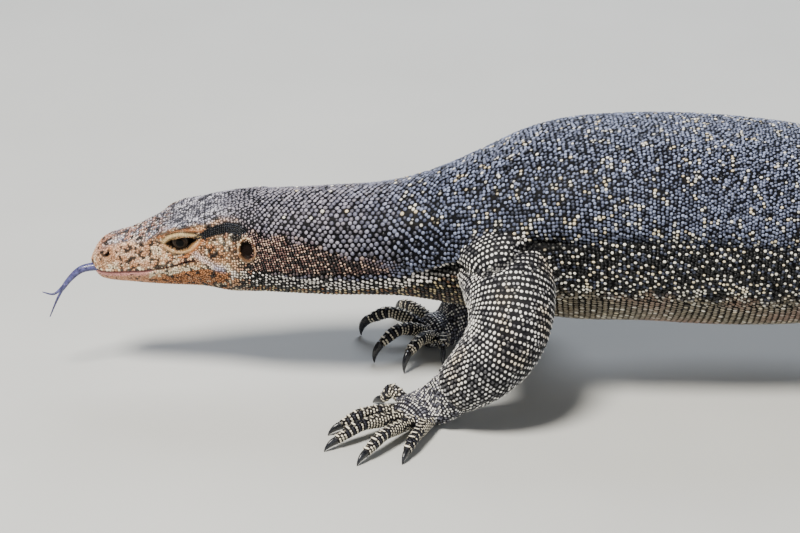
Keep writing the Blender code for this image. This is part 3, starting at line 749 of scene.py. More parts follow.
headPoints = pressHead(headPoints, headNormals)
print("  head", len(headPoints), "points")


def treeOf(points, faces):
    normals = normalsOf(points, faces)
    smooth = unit(np.array([normals[list(face)].sum(axis=0) for face in faces]))
    return BVHTree.FromPolygons(np.asarray(points).tolist(), faces), smooth


headTree, headSmooth = treeOf(headPoints, headFaces)
coverPoints, coverFaces = joined([(skinPoints, skinFaces), (rolled(headPoints), headFaces)])
coverTree, coverSmooth = treeOf(coverPoints, coverFaces)


# Rows of scales on a surface of rings, step apart along it and pitch apart round it. Halves are spans of
# the ring as anchor, first and last share of its way round; without them the rows go all round.
def rowsOn(rings, step, pitch, halves=None):
    rings = np.asarray(rings, float)
    sides = rings.shape[1]
    arc = reachOf(rings.mean(axis=1))
    stepAt = step if callable(step) else lambda a: step
    pitchAt = pitch if callable(pitch) else lambda a: pitch
    found = {"place": [], "out": [], "lie": [], "arc": [], "turn": [], "row": []}
    a, row = stepAt(0) * 0.5, 0
    while a < arc[-1] - stepAt(a) * 0.25:
        f = np.interp(a, arc, np.arange(len(arc)))
        i = min(int(f), len(arc) - 2)
        w = f - i
        ring = rings[i] * (1 - w) + rings[i + 1] * w
        ahead = rings[i + 1] - rings[i]
        closed = np.vstack([ring, ring[:1]])
        reach = reachOf(closed)
        total, gap = reach[-1], pitchAt(a)
        if halves is None:
            count = max(3, round(total / gap))
            at = (np.arange(count) + 0.5 * (row % 2)) / count * total
        else:
            at = []
            for anchor, first, last in halves:
                ends = np.array((anchor, first, last)) * sides
                start, low, high = np.interp(ends, np.arange(sides + 1), reach)
                k = np.arange(-200, 200) + 0.5 * (row % 2)
                spots = start + k * gap
                at.append(spots[(spots > low) & (spots < high)])
            at = np.concatenate(at)
        s = np.interp(at, reach, np.arange(sides + 1))
        j = np.minimum(s.astype(int), sides - 1)
        v = (s - j)[:, None]
        place = closed[j] * (1 - v) + closed[j + 1] * v
        around = unit(closed[j + 1] - closed[j])
        lie = unit(ahead[j] * (1 - v) + ahead[(j + 1) % sides] * v)
        out = unit(np.cross(around, lie))
        away = np.einsum("ij,ij->i", out, place - ring.mean(axis=0))
        out *= np.sign(away)[:, None]
        found["place"].append(place)
        found["out"].append(out)
        found["lie"].append(lie)
        found["arc"].append(np.full(len(at), a))
        found["turn"].append(at / total)
        found["row"].append(np.full(len(at), row))
        a += stepAt(a)
        row += 1
    found = {name: np.concatenate(values) for name, values in found.items()}
    found["arcTotal"] = arc[-1]
    return found


# Claims a place in the grid unless another stands nearer than the gap
gridCell = 6.0
aroundCell = [(i, j, k) for i in (-1, 0, 1) for j in (-1, 0, 1) for k in (-1, 0, 1)]


def claim(grid, place, gap):
    x, y, z = place
    a, b, c = int(x // gridCell), int(y // gridCell), int(z // gridCell)
    limit = gap * gap
    for i, j, k in aroundCell:
        for other in grid.get((a + i, b + j, c + k), ()):
            if (other[0] - x) ** 2 + (other[1] - y) ** 2 + (other[2] - z) ** 2 < limit:
                return False
    grid.setdefault((a, b, c), []).append((x, y, z))
    return True


# Picks some of the wanted places, none nearer to another than its gap
def spreadOut(place, wanted, gap):
    chosen, grid = np.zeros(len(place), bool), {}
    gap = np.broadcast_to(gap, (len(place),))
    for i in dice.permutation(np.flatnonzero(wanted)):
        chosen[i] = claim(grid, place[i].tolist(), gap[i])
    return chosen


# Those of the spots that a mask or an index keeps
def picked(spots, mask):
    return {name: value[mask] if np.ndim(value) else value for name, value in spots.items()}


# The part of some directions that lies flat on a surface
def laidFlat(lie, out):
    return unit(lie - out * np.einsum("ij,ij->i", lie, out)[:, None])


# Sets each scale on the skin from outside, and drops those that lie inside a limb or too near another
def settled(spots, tree, smooth, grid, spacing, high=7.0, deep=4.0, stir=0.3):
    place, out, lie = spots["place"], spots["out"], spots["lie"]
    spacing = np.broadcast_to(spacing, (len(place),))
    stray = (dice.random((len(place), 2)) - 0.5) * (stir * spacing)[:, None]
    place = place + lie * stray[:, :1] + np.cross(out, lie) * stray[:, 1:]
    keep, places, normals = [], [], []
    for i in range(len(place)):
        start = Vector(place[i] + out[i] * high)
        hit, normal, index, distance = tree.ray_cast(start, Vector(-out[i]), high + deep)
        if hit is None or distance < 0.4 or smooth[index].dot(out[i]) < 0.25:
            continue
        if claim(grid, hit[:], spacing[i]):
            keep.append(i)
            places.append(hit[:])
            normals.append(smooth[index])
    kept = picked(spots, np.array(keep, int))
    kept["place"] = np.array(places).reshape(-1, 3)
    kept["out"] = unit(np.array(normals).reshape(-1, 3) * 0.8 + kept["out"] * 0.2)
    kept["lie"] = laidFlat(kept["lie"], kept["out"])
    return kept


# Value noise from 0 to 1 over space, for blotches in the markings
def patchy(points, size, seed):
    p = np.asarray(points, float) / size
    base = np.floor(p)
    f = p - base
    f = f * f * (3 - 2 * f)
    total = np.zeros(len(p))
    for corner in np.ndindex(2, 2, 2):
        cell = base + corner
        chance = np.sin(cell @ (127.1, 311.7, 74.7) + seed * 19.19) * 43758.5453
        weight = np.prod(np.where(corner, f, 1 - f), axis=1)
        total += weight * (chance - np.floor(chance))
    return total


def coloured(count, code):
    return np.tile(paint(code), (count, 1))


def dab(tone, code, share):
    share = np.clip(np.asarray(share, float), 0, 1)[:, None]
    return tone * (1 - share) + paint(code) * share


# Lays colours over a tone one after another, each with its share for every scale
def painted(tone, colours, *layers):
    for name, share in layers:
        tone = dab(tone, colours[name], share)
    return tone


def shaded(tone, spread):
    return tone * (1 + spread * (dice.random(len(tone)) - 0.5))[:, None]


# How far points of the side view lie from the nearest of some lines
def nearLine(x, z, *lines):
    at = np.column_stack([x, z])[:, None]
    away = []
    for line in lines:
        path = sideCurve(line, 40)[:, [0, 2]]
        away.append(np.sqrt(((at - path[None]) ** 2).sum(axis=2)).min(axis=1))
    return np.min(away, axis=0)


# Markings of the body, with painted light: for each scale a tone for its top, one for its rim, and how far
# the tone spreads down
print("markings")
bodyColours = {
    "back": "#3f4458", "backLight": "#858eaa", "backDark": "#161924", "edge": "#030305",
    "neck": "#5d5a66", "neckLight": "#9a949e", "neckDark": "#27252c",
    "neckSide": "#70483a", "neckBrown": "#4a3a34", "neckBlack": "#0d0a0b", "neckSideLight": "#e2bea6",
    "flank": "#050608", "flankLight": "#3f4456", "fleck": "#fffaea", "fleckWarm": "#f2dcaa",
    "belly": "#7e7460", "bellyPink": "#8a695a", "bellyLine": "#0a0908", "bellyRim": "#5d543f",
    "under": "#0c0b0b", "throat": "#a8703a", "underLight": "#e0cc9c", "beadGap": "#0a090c", "bead": "#fff8f0",
    "foldShade": "#030304", "tailBand": "#e0cf98", "tailDark": "#101116",
}
fleckSize = {"ring": 7.5, "ringWide": 3.0, "along": 50, "around": 40, "tailBand": 66}


def bodyHeight(place, reach):
    keys = bodyAt(reach)
    up = place[:, 2] - keys[:, 2]
    return up / np.where(up > 0, keys[:, 4], keys[:, 5])


foldLine = folds["lateral"]["line"]
shoulderFold = folds["antehumeral"]["line"]
neckRow = [
    (128, 92), (157, 90.5), (194, 88.5), (231, 92.5), (253, 101.5),
    (271, 110), (290, 124), (310, 134.5), (330, 138),
]


# How high on the neck's side the small brown columns end, as a share of the neck's half height
def sideTop(place):
    return 0.48 - 0.56 * smoothstep(122, 232, place[:, 0]) + 0.22 * (patchy(place, 9, 41) - 0.5)


def bodyMarkingsAndPaintedLight(place, reach):
    x, z = place[:, 0], place[:, 2]
    h = bodyHeight(place, reach)
    n = len(x)
    luck, pick, chance = dice.random(n), dice.random(n), dice.random(n)
    keys = bodyAt(reach)
    around = np.arctan2(z - keys[:, 2], np.abs(place[:, 1] - keys[:, 1])) * (keys[:, 3] + keys[:, 4]) / 2
    wide, fine = patchy(place, 30, 1), patchy(place, 7, 2)
    streak = patchy(place / (2.8, 3.4, 5.2), 1.0, 3)  # clusters of one to three scales, taller than long
    # slate back: each scale its own shade of grey blue, light only on its top
    tone = painted(
        coloured(n, bodyColours["back"]), bodyColours,
        ("backLight", 0.9 * pick ** 1.3),
        ("backDark", 0.8 * (luck < 0.14 + 0.22 * wide)),
    )
    # painted light: the upper back's scales lighter, their tone spread further down, as lit from above
    tone = tone * (1 + 0.22 * smoothstep(0.45, 0.9, h))[:, None]
    fill = 0.16 * chance + 0.05 * smoothstep(0.45, 0.9, h)
    onNeck = 1 - smoothstep(150, 262, x + 16 * (fine - 0.5))
    # grey mauve neck; pale bead tops more often up its upper half, partly paler scales and partly painted
    # highlight from above
    tone = painted(
        tone, bodyColours,
        ("neck", onNeck * 0.85),
        ("neckDark", onNeck * 0.7 * (luck < 0.22)),
        ("neckLight", onNeck * 0.9 * pick * smoothstep(0.0, 0.8, h + 0.5 * wide)),
    )
    # faint rings of cream scales over the back and the sides
    cellX, cellY = reach / fleckSize["along"], around / fleckSize["around"]
    dx = (cellX - np.round(cellX)) * fleckSize["along"]
    dy = (cellY - 0.5 - np.round(cellY - 0.5)) * fleckSize["around"]
    ring = bump(np.hypot(dx, dy) - fleckSize["ring"], fleckSize["ringWide"]) * smoothstep(250, 300, x)
    above = aboveLine(np.clip(x, 300, 650), z, foldLine)
    upper = smoothstep(-3, 5, above + 5 * (fine - 0.5))
    level = 0.80 - 0.13 * ring - 0.09 * (1 - smoothstep(0, 42, above))
    level = level - 0.05 * (wide > 0.55) + 0.12 * (x < 225)
    fleck = (streak > level) & (upper > 0.5) & (luck < 0.88)
    fleck |= (luck < 0.025) & (upper > 0.5) & (x > 225)
    # black flank below the fold, thick with cream dots that keep apart
    below = (1 - upper) * smoothstep(286, 318, x + 0.3 * (z - 110))
    low = 1 - smoothstep(-0.52, -0.36, h + 0.16 * (fine - 0.5))
    gap = 3.5 - 1.1 * (1 - smoothstep(-0.40, 0.0, h)) + 2.4 * (patchy(place, 9, 4) - 0.4)
    dotted = spreadOut(place, (below > 0.5) & (luck < 0.57) & (x < 760), gap)
    strength = np.where(dotted, 0.95, 0.25 + 0.75 * chance)
    tone = painted(
        tone, bodyColours,
        ("flank", below),
        ("flankLight", below * (pick < 0.22) * 0.75),
        ("fleck", (fleck | dotted) * strength),
        ("fleckWarm", (fleck | dotted) * (chance < 0.25) * 0.6),
    )
    fill = np.where(fleck, -0.22 + 0.34 * dice.random(n), fill)
    fill = np.where(dotted, -0.10 + 0.16 * dice.random(n), fill)
    # the neck's side: small brown pink scales in columns, then the rows of white beads
    top = sideTop(place)
    side = (1 - smoothstep(196, 236, x)) * between(h, -0.36, -0.24, top - 0.16, top + 0.10)
    later = smoothstep(134, 186, x)
    rows = aboveLine(x, z, neckRow)
    beads = (rows > -9.5 - 3 * fine) & (rows < 2.0 + 4 * (wide - 0.5)) & (x < 322) & (h < 0.75)
    white = spreadOut(place, beads & (luck < 0.95), 2.4)
    under = (rows < -9) & (x < 300)
    tone = painted(
        tone, bodyColours,
        ("neckSide", side * 0.85),
        ("neckBrown", side * later * 0.6),
        ("neckBlack", side * (luck > 0.80 - 0.12 * later) * 0.9),
        ("neckSideLight", side * (luck < 0.36 - 0.10 * later) * 0.8),
        ("beadGap", beads * 0.97),
        ("bead", white),
        ("under", under * 0.95),
        ("throat", (under & (luck < 0.60)) * 0.85 * (1 - 0.7 * smoothstep(200, 260, x))),
        ("underLight", (under & (luck < 0.24)) * 0.9),
    )
    fill = np.where(side > 0.5, -0.10 + 0.1 * chance, fill)
    fill = np.where(beads, -0.02 + 0.1 * chance, fill)
    fill = np.where(under, -0.04, fill)
    # deep shade in the fold ahead of the shoulder, and a cream belly whose plates shrink up the flank
    over = aboveLine(x, z, shoulderFold)
    belly = low * between(x, 262, 300, 940, 1040)
    tone = painted(
        tone, bodyColours,
        ("foldShade", between(over, -9, -4.5, -1.0, 1.5) * between(x, 243, 262, 340, 372) * 0.97),
        ("belly", belly * (0.92 - 0.7 * (luck < 0.10) - 0.35 * (pick > 0.8))),
        ("bellyPink", belly * smoothstep(0.4, 0.8, wide) * 0.7),
    )
    # rims near black: the dark skin between the scales, with painted shade round each dome
    edge = painted(
        coloured(n, bodyColours["edge"]), bodyColours,
        ("bellyLine", belly * 0.9),
        ("bellyRim", belly * smoothstep(0.62, 0.86, -h) * (luck < 0.75) * 0.8),
    )
    fill = fill * (1 - belly) + (0.04 + 0.26 * smoothstep(0.48, 0.76, -h)) * belly
    # tail: pale bands over the dark, wider below
    tail = smoothstep(730, 800, x)
    phase = (reach - bodyReach[body["vent"]]) / fleckSize["tailBand"]
    band = np.abs(phase - np.round(phase)) * 2
    pale = smoothstep(0.62, 0.80, band + 0.16 * (fine - 0.5) - 0.10 * h) * tail
    tone = painted(
        tone, bodyColours,
        ("tailDark", tail * (1 - belly) * 0.75 * ~(fleck | dotted)),
        ("tailBand", pale * (luck < 0.82) * 0.92),
        ("fleck", tail * (luck < 0.03)),
    )
    return shaded(tone, 0.3), edge, fill


limbColours = {
    "dark": "#20202a", "edge": "#0e0e15", "dot": "#fbf8f2", "warm": "#e8cc9c", "back": "#696974",
    "palmEdge": "#1c1b22", "toe": "#f4ead2",
}


def limbMarkings(place, share):
    n, luck = len(place), dice.random(len(place))
    late = smoothstep(0.50, 0.80, share)
    tone = painted(
        coloured(n, limbColours["dot"]), limbColours,
        ("warm", 0.5 * smoothstep(0.5, 0.85, patchy(place, 16, 8))),
        ("dark", (luck > 0.80 + 0.12 * smoothstep(0.1, 0.5, share) - 0.20 * late) * 0.95),
        ("back", (luck < 0.16 + 0.10 * late) * 0.7),
    )
    return shaded(tone, 0.2), coloured(n, limbColours["edge"]), 0.03 - 0.07 * late - 0.14 * dice.random(n)


def palmMarkings(place):
    n, luck = len(place), dice.random(len(place))
    tone = painted(
        coloured(n, limbColours["back"]), limbColours,
        ("dot", (luck < 0.58) * 0.9),
        ("dark", (luck > 0.84) * 0.8),
    )
    return shaded(tone, 0.2), coloured(n, limbColours["palmEdge"]), np.where(luck < 0.58, -0.06, 0.05)


# Digits: narrow cream scutes with black lines, then broad bands of both before a cream cuff at the claw
def toeMarkings(place, row, share, seed):
    n, luck = len(place), dice.random(len(place))
    chance = np.sin(row * 12.9898 + seed * 4.1) * 43758.5453
    chance = chance - np.floor(chance)
    banded = (row % 2 == 0) | (chance < 0.10)
    cream = np.where(share < 0.60, chance < 0.93, banded) | (share > 0.93)
    tone = dab(coloured(n, limbColours["dark"]), limbColours["toe"], cream * (luck < 0.96) * 0.95)
    fill = np.where(share > 0.60, 0.16, -0.02 + 0.1 * chance)
    return shaded(tone, 0.2), coloured(n, limbColours["edge"]), fill


headColours = {
    "tan": "#e2b48c", "clay": "#cc9878", "sand": "#fdeccb", "orange": "#c0762e", "pink": "#edc3a4",
    "rose": "#dc948c", "temple": "#8f5f3a", "freckle": "#8a5636", "blot": "#7c4c2c", "nose": "#b0623a",
    "jaw": "#e2b486", "jawFront": "#e0a888", "jawUnder": "#a9622c", "jawCream": "#f6e2c0",
    "crown": "#8b8d9d", "crownLight": "#e0dee6", "crownDark": "#25262f", "crownEdge": "#17181f",
    "snoutPink": "#c9957c", "snoutPale": "#f4e4d4", "snoutDark": "#17161a",
    "lid": "#f0d49c", "lowerLid": "#e0b884", "lidLine": "#1c120c", "lidCrease": "#4a2814",
    "ridge": "#c4753a", "browEdge": "#151110", "cheekFold": "#c9743c",
    "black": "#0d0b0b", "stripe": "#08090d", "stripeGlint": "#262c38", "stripeBorder": "#e4b488",
    "corner": "#f6dcd6", "cornerBlue": "#bcbfda", "cheekRow": "#fbeee0",
    "ear": "#a97c52", "earTop": "#ecd2a8", "earLow": "#4c4438",
}
crownLine = [
    (0, 15), (10, 19.6), (19, 22.4), (27, 24), (36, 26), (42, 27), (47.5, 30.4), (54, 35.4), (62, 40.5),
    (78.8, 44.2), (103.7, 47.4), (128, 44),
]
stripeLine = [(80.5, 34.5), (89.8, 39.4), (98.8, 42.2), (107, 41.8), (114.5, 38.6)]
stripeTop = [(70, 42), (84, 42.5), (98, 48), (112, 47), (124, 42)]
cornerLine = [(80, 21.4), (89.3, 16.5), (100.2, 12.3)]
cheekRow = [(104, 5), (112, 6.5), (128, 4.5)]
snoutRows = {"upper": [(12, 18.5), (28, 21), (44, 24), (56, 28)], "lower": [(10, 12), (30, 12.5), (50, 15)]}


# Markings of the head, with painted shade in its creases and gaps and a painted glint on the band behind the
# eye
def headMarkingsAndPaintedLight(place):
    x, y, z = onHead(place)
    n = len(x)
    luck, pick = dice.random(n), dice.random(n)
    wide, fine, small = patchy(place, 13, 11), patchy(place, 5, 12), patchy(place, 2.4, 13)
    down = z - mouthLevel(x)
    ahead = 1 - smoothstep(34, 54, x)
    temple = smoothstep(82, 90, x) * smoothstep(12, 18, z)
    tone = painted(
        coloured(n, headColours["tan"]), headColours,
        ("clay", smoothstep(0.42, 0.65, wide) * 0.7),
        ("temple", temple * (luck < 0.5) * 0.75),
        ("orange", (1 - smoothstep(0.30, 0.46, fine)) * 0.45),
        ("sand", smoothstep(0.48, 0.68, small) * 0.85),
        ("freckle", (patchy(place, 1.7, 16) > 0.66) * 0.65),
        ("blot", smoothstep(0.62, 0.74, patchy(place, 4.2, 17)) * (z > 6) * 0.6),
        ("pink", ahead * smoothstep(4, 10, z) * (0.25 + 0.5 * (small > 0.5))),
        ("nose", (1 - smoothstep(9, 24, x)) * smoothstep(9, 15, z) * 0.5),
    )
    # how thick the black flecks are: few on the snout, more on the upper lip, the temple and the throat
    dense = 0.34 + 0.30 * smoothstep(0.5, 0.7, wide)
    dense += 0.55 * bump(down - 2.6, 1.8) * smoothstep(20, 40, x) * (x < 84)
    dense += 0.45 * smoothstep(78, 90, x) * between(z, 14, 22, 34, 38)
    dense += 1.0 * bump(aboveLine(x, z, snoutRows["upper"]), 1.6) * smoothstep(16, 22, x) * (x < 56)
    dense += 0.6 * bump(aboveLine(x, z, snoutRows["lower"]), 1.5) * smoothstep(12, 18, x) * (x < 52)
    # jaw: rose lip in front, pale orange, then cream and orange with black further back
    jaw = (down < -0.2) & (x < 104)
    dense = np.where(jaw, 0.10 + 0.55 * smoothstep(38, 60, x), dense)
    throat = smoothstep(66, 96, x) * (1 - smoothstep(-4, 3, z))
    dense += 0.7 * throat
    tone = painted(
        tone, headColours,
        ("jaw", jaw * 0.8),
        ("jawFront", jaw * (1 - smoothstep(36, 58, x)) * 0.7),
        ("jawUnder", jaw * smoothstep(4, 8, -down) * (0.30 + 0.5 * smoothstep(30, 60, x))),
        ("rose", jaw * (down > -3.4) * (1 - smoothstep(36, 50, x)) * 0.9),
        ("jawCream", jaw * (x > 44) * (down > -7.5) * (small > 0.38) * 0.9),
        ("sand", throat * (small > 0.6) * 0.7),
    )
    # crown: glossy blue grey plates with pale specks
    browY, browZ = (np.interp(x, head["x"], head["brow"][k]) for k in (0, 1))
    crown = smoothstep(-0.5, 1.5, browY - 1.2 - np.abs(y) + 1.4 * (fine - 0.5)) * (z > browZ - 4)
    crown = np.maximum(crown, smoothstep(-1.2, 1.2, aboveLine(x, z, crownLine) + 2.0 * (fine - 0.5)))
    crown *= smoothstep(4, 24, x + 14 * (fine - 0.5))
    onSnout = crown * (1 - smoothstep(46, 64, x))
    flow = patchy(place / (3.6, 1.5, 1.5), 1.0, 15)
    tone = painted(
        tone, headColours,
        ("crown", crown * 0.92),
        ("crownDark", crown * smoothstep(0.54, 0.64, flow) * 0.8),
        ("crownLight", crown * (1 - smoothstep(0.34, 0.46, flow)) * 0.6),
        ("snoutPink", onSnout * smoothstep(0.46, 0.60, small) * 0.75),
        ("snoutPale", onSnout * (luck < 0.22) * 0.8),
        ("snoutDark", onSnout * (pick < 0.20) * 0.9),
    )
    dense = np.where(crown > 0.5, 0.22, dense)
    # eyelids and brow, on the head's side alone
    onSide = np.abs(y) > 0.80 * browY

    def awayFrom(*lines):
        return np.where(onSide, nearLine(x, z, *lines), 99)

    high, lids = awayFrom(eye["upperFold"]), awayFrom(eye["upperFold"], eye["lowerFold"])
    creases = awayFrom(shifted(eye["upperFold"], 1.9), shifted(eye["lowerFold"], -1.5))
    browEdge = np.where((x > 49) & (x < 86), np.hypot(np.abs(y) - browY, z - browZ), 99)
    tone = painted(
        tone, headColours,
        ("ridge", bump(awayFrom(shifted(eye["browFold"], -0.2)), 1.7) * 0.85 * (z < browZ - 0.6)),
        ("browEdge", bump(browEdge, 1.25) * (luck < 0.86) * 0.95),
        # painted shade: dark lines in the creases over the upper fold and under the lower fold
        ("lidCrease", bump(creases, 0.9) * 0.9),
        ("lid", bump(high, 1.5) * 0.9),
        ("lowerLid", bump(np.where(high > lids, lids, 99), 1.0) * 0.85),
        ("cheekFold", bump(awayFrom(eye["cheekFold"]), 1.2) * smoothstep(66, 74, x) * 0.8),
        # painted shade where the lids meet the eyeball
        ("lidLine", bump(awayFrom(eye["upperRim"], eye["lowerRim"]), 0.8) * 0.85),
    )
    dense = np.where(lids < 1.9, -1.0, dense)
    dense = np.where(awayFrom(eye["browFold"]) < 1.6, -0.3, dense)
    # black band behind the eye with its pale border, then the mouth's corner, the ear's rim and the nape
    band = nearLine(x, z, stripeLine)
    thick = 3.7 - 1.9 * (1 - smoothstep(80, 92, x))
    black = 1 - smoothstep(thick - 0.5, thick + 0.7, band + 1.2 * (fine - 0.5))
    corner = nearLine(x, z, cornerLine)
    ear = inOval(x, z, head["ear"])
    behind = smoothstep(112, 124, x) * (1 - smoothstep(30, 36, z)) * (ear > 1.4)
    nape = smoothstep(90, 116, x + 10 * (fine - 0.5)) * smoothstep(34, 42, z)
    tone = painted(
        tone, headColours,
        ("stripeBorder", bump(aboveLine(x, z, stripeTop), 1.5) * between(x, 74, 84, 110, 118) * 0.9),
        ("corner", bump(corner, 2.2) * 0.9),
        ("cornerBlue", bump(nearLine(x, z, [(94, 12), (101, 10)]), 2.0) * 0.8),
        ("ear", (1 - smoothstep(1.15, 1.5, ear)) * 0.6),
        ("earTop", (1 - smoothstep(1.2, 1.5, ear)) * smoothstep(25, 31, z) * (pick < 0.8) * 0.8),
        ("earLow", (1 - smoothstep(1.2, 1.4, ear)) * (1 - smoothstep(17, 22, z)) * 0.7),
    )
    dense = np.where((corner < 2.6) | (ear < 1.35), -0.5, dense)
    tone = painted(
        tone, bodyColours,
        ("neckSide", behind * 0.7),
        ("neckSideLight", behind * (pick < 0.40) * 0.75),
        ("neck", nape * 0.9),
        ("neckLight", nape * 0.9 * pick),
    )
    row = np.abs(aboveLine(x, z, cheekRow)) < 3.6
    fleck = (patchy(place, 1.9, 14) > 0.84 - 0.28 * dense) & (luck < 0.9) & (band > thick)
    tone = painted(
        tone, headColours,
        ("cheekRow", (row & (x > 106)) * (pick < 0.8) * 0.95),
        ("black", fleck * 0.95),
        ("stripe", black),
        ("stripeGlint", black * (pick < 0.35) * 0.6),
    )
    tone = shaded(tone, 0.36)
    # the gaps are a darker copy of the same skin's tone, partly darker skin and partly painted shade, near
    # black on the crown, the band and the nape
    late = np.maximum(smoothstep(100, 118, x), nape)
    deep = np.maximum(np.maximum(0.52 * crown, black), late)
    soft = 0.34 + 0.22 * (1 - smoothstep(46, 74, x)) + 0.12 * jaw * (1 - smoothstep(30, 60, x))
    edge = tone * (soft * (1 - deep))[:, None] + paint(headColours["crownEdge"]) * deep[:, None] * 0.6
    return tone, edge, 0.20 * (1 - deep) - 0.02 * deep


# Places for single rows of scales on the head's side, such as the lips and lids
def sideRow(line, pitch, side, closed=False):
    path = sideCurve(line, 80)
    reach = reachOf(path)
    count = max(2, round(reach[-1] / pitch))
    at = (np.arange(count) + (0 if closed else 0.5)) * reach[-1] / count
    x, z = np.interp(at, reach, path[:, 0]), np.interp(at, reach, path[:, 2])
    way = unit(np.column_stack([np.gradient(path[:, 0]), np.zeros(len(path)), np.gradient(path[:, 2])]))
    lie = np.column_stack([np.interp(at, reach, way[:, k]) for k in range(3)])
    y = np.array([headSide(float(a), float(b)) for a, b in zip(x, z)])
    place = np.column_stack([x, y * side, z + head["z"]])
    return {"place": place, "out": np.tile((0.0, side, 0.0), (count, 1)), "lie": unit(lie)}


# A row of scales that all lie along the head and face one way
def plainRow(place, out):
    copies = (len(place), 1)
    return {"place": place, "out": np.tile(out, copies), "lie": np.tile((1.0, 0, 0), copies)}


def ovalLine(oval, grow):
    c, s = math.cos(oval["tilt"]), math.sin(oval["tilt"])
    line = []
    for a in np.linspace(0, 2 * math.pi, 33):
        u, v = math.cos(a) * oval["long"] * grow, math.sin(a) * oval["wide"] * grow
        line.append((oval["x"] + u * s + v * c, oval["z"] + u * c - v * s))
    return line


coat = {}


# Files one set of settled scales under its piece: size is half length, half width and height in mm,
# lift in degrees, fill how far the tone spreads down from the top
def lay(piece, spots, size, colours, unwrap, lift=8.0, fill=0.0, vary=0.26):
    count = len(spots["place"])
    if count == 0:
        return
    size = np.broadcast_to(np.asarray(size, float), (count, 3)) * (1 + vary * (dice.random((count, 3)) - 0.5))
    angle = np.radians(lift)
    twist = (dice.random((count, 1)) - 0.5) * 2 * vary
    lie = unit(spots["lie"] + np.cross(spots["out"], spots["lie"]) * twist)
    coat.setdefault(piece, []).append({
        "place": spots["place"], "size": size, "tone": colours[0], "edge": colours[1],
        "unwrap": np.asarray(unwrap),
        "long": lie * math.cos(angle) + spots["out"] * math.sin(angle),
        "high": spots["out"] * math.cos(angle) - lie * math.sin(angle),
        "fill": np.broadcast_to(np.asarray(fill, float), (count,)),
    })


def scaleCount(piece):
    return sum(len(batch["place"]) for batch in coat[piece])


# Rows on the head, upright, then turned with it
print("scales of the head")
# Single rows: pitch, size and least gap of their scales, in mm, then their lift in degrees
headCoat = {
    "ear": (1.3, (0.8, 0.75, 0.22), 0.9, 0),
    "nostril": (1.1, (0.6, 0.6, 0.2), 0.7, 0),
    "fold": (1.15, (0.72, 0.62, 0.16), 0.8, 2),
    "upperLip": (2.3, (1.15, 1.2, 0.34), 1.2, 2),
    "lowerLip": (2.3, (1.2, 1.05, 0.30), 1.2, 2),
    "stripe": (1.6, (0.85, 0.75, 0.36), 1.0, 4),
    "brow": (1.25, (0.74, 0.78, 0.36), 0.9, 2),
    "overEye": (2.6, (1.3, 2.6, 0.36), 1.6, 2),
}
# How far up or down the rows lie that cover a fold or the band behind the eye
rowShifts = {
    "upperFold": (-1.1, 0.0, 1.1), "lowerFold": (-1.0, 0.0, 1.0), "browFold": (-0.8, 0.5),
    "stripe": (-3.0, -1.5, 0.0, 1.5, 3.0),
}
headGrid, cover = {}, {}


def layHead(spots, size, spacing, lift=6.0, stir=0.3):
    kept = settled(spots, headTree, headSmooth, headGrid, spacing, high=9.0, deep=6.0, stir=stir)
    x, y, z = onHead(kept["place"])
    down = z - mouthLevel(x)
    rims = nearLine(x, z, eye["upperRim"], eye["lowerRim"])
    taken = ((openingDepth(x, z) > -0.5) | (rims < 1.3)) & (np.abs(y) > head["sideY"])
    taken |= (down < 0.8) & (down > np.where(x < 46, -2.0, -0.7)) & (x < 80) & (np.abs(y) > 1.5)
    taken |= (inOval(x, z, head["ear"]) < 0.98) | (inOval(x, z, head["nostril"]) < 1.02)
    taken |= x > 115 + 13 * patchy(kept["place"], 7, 31)
    kept = picked(kept, ~taken)
    place = kept["place"]
    x, y, z = onHead(place)
    tones = headMarkingsAndPaintedLight(place)
    for name in ("out", "lie"):
        kept[name] = unit(rolled(place + kept[name] * 0.5) - rolled(place - kept[name] * 0.5))
    unwrap = np.column_stack([x / 130, np.arctan2(y, z - 15) / (2 * math.pi) + 0.5])
    kept["place"] = rolled(place)
    onCrown = smoothstep(36, 42, z)
    growing = 1 + 0.42 * smoothstep(92, 128, x) * (1 - onCrown) + 0.40 * smoothstep(82, 120, x) * onCrown
    lay("scales_head", kept, np.array(size) * growing[:, None], tones[:2], unwrap, lift, tones[2])


mouthLine = [(x, float(mouthLevel(x))) for x in (2, 10, 18, 30, 40, 50, 61, 70, 77)]
for side in (-1, 1):
    rowLines = [("ear", ovalLine(head["ear"], 1.22), True), ("nostril", ovalLine(head["nostril"], 1.4), True)]
    for fold in ("upperFold", "lowerFold", "browFold"):
        rowLines += [("fold", shifted(eye[fold], shift), False) for shift in rowShifts[fold]]
    rowLines += [("upperLip", shifted(mouthLine, 2.1), False), ("lowerLip", shifted(mouthLine, -3.2), False)]
    rowLines += [("stripe", shifted(stripeLine, shift), False) for shift in rowShifts["stripe"]]
    for kind, line, closed in rowLines:
        layHead(sideRow(line, headCoat[kind][0], side, closed), *headCoat[kind][1:])
    at = np.arange(50.0, 87.0, headCoat["brow"][0])
    browY, browZ = (np.array([headValue("brow", k, a) for a in at]) for k in (0, 1))
    place = np.column_stack([at, side * (browY - 0.2), browZ + 0.2 + head["z"]])
    layHead(plainRow(place, (0, side * 0.75, 0.66)), *headCoat["brow"][1:])
    # the wide plates over the eye
    at = np.linspace(60, 81, 9)
    place = np.column_stack([at, np.full(len(at), side * 16.0), np.full(len(at), head["z"] + 42)])
    layHead(plainRow(place, (0, 0, 1.0)), *headCoat["overEye"][1:])


def sidePitch(a):
    return float(np.interp(a, (0, 25, 60, 90, 110, 128), (1.30, 1.38, 1.50, 1.68, 2.3, 2.9)))


def crownPitch(a):
    return 2.05 * float(np.interp(a, (0, 82, 120), (1.0, 1.0, 1.6)))


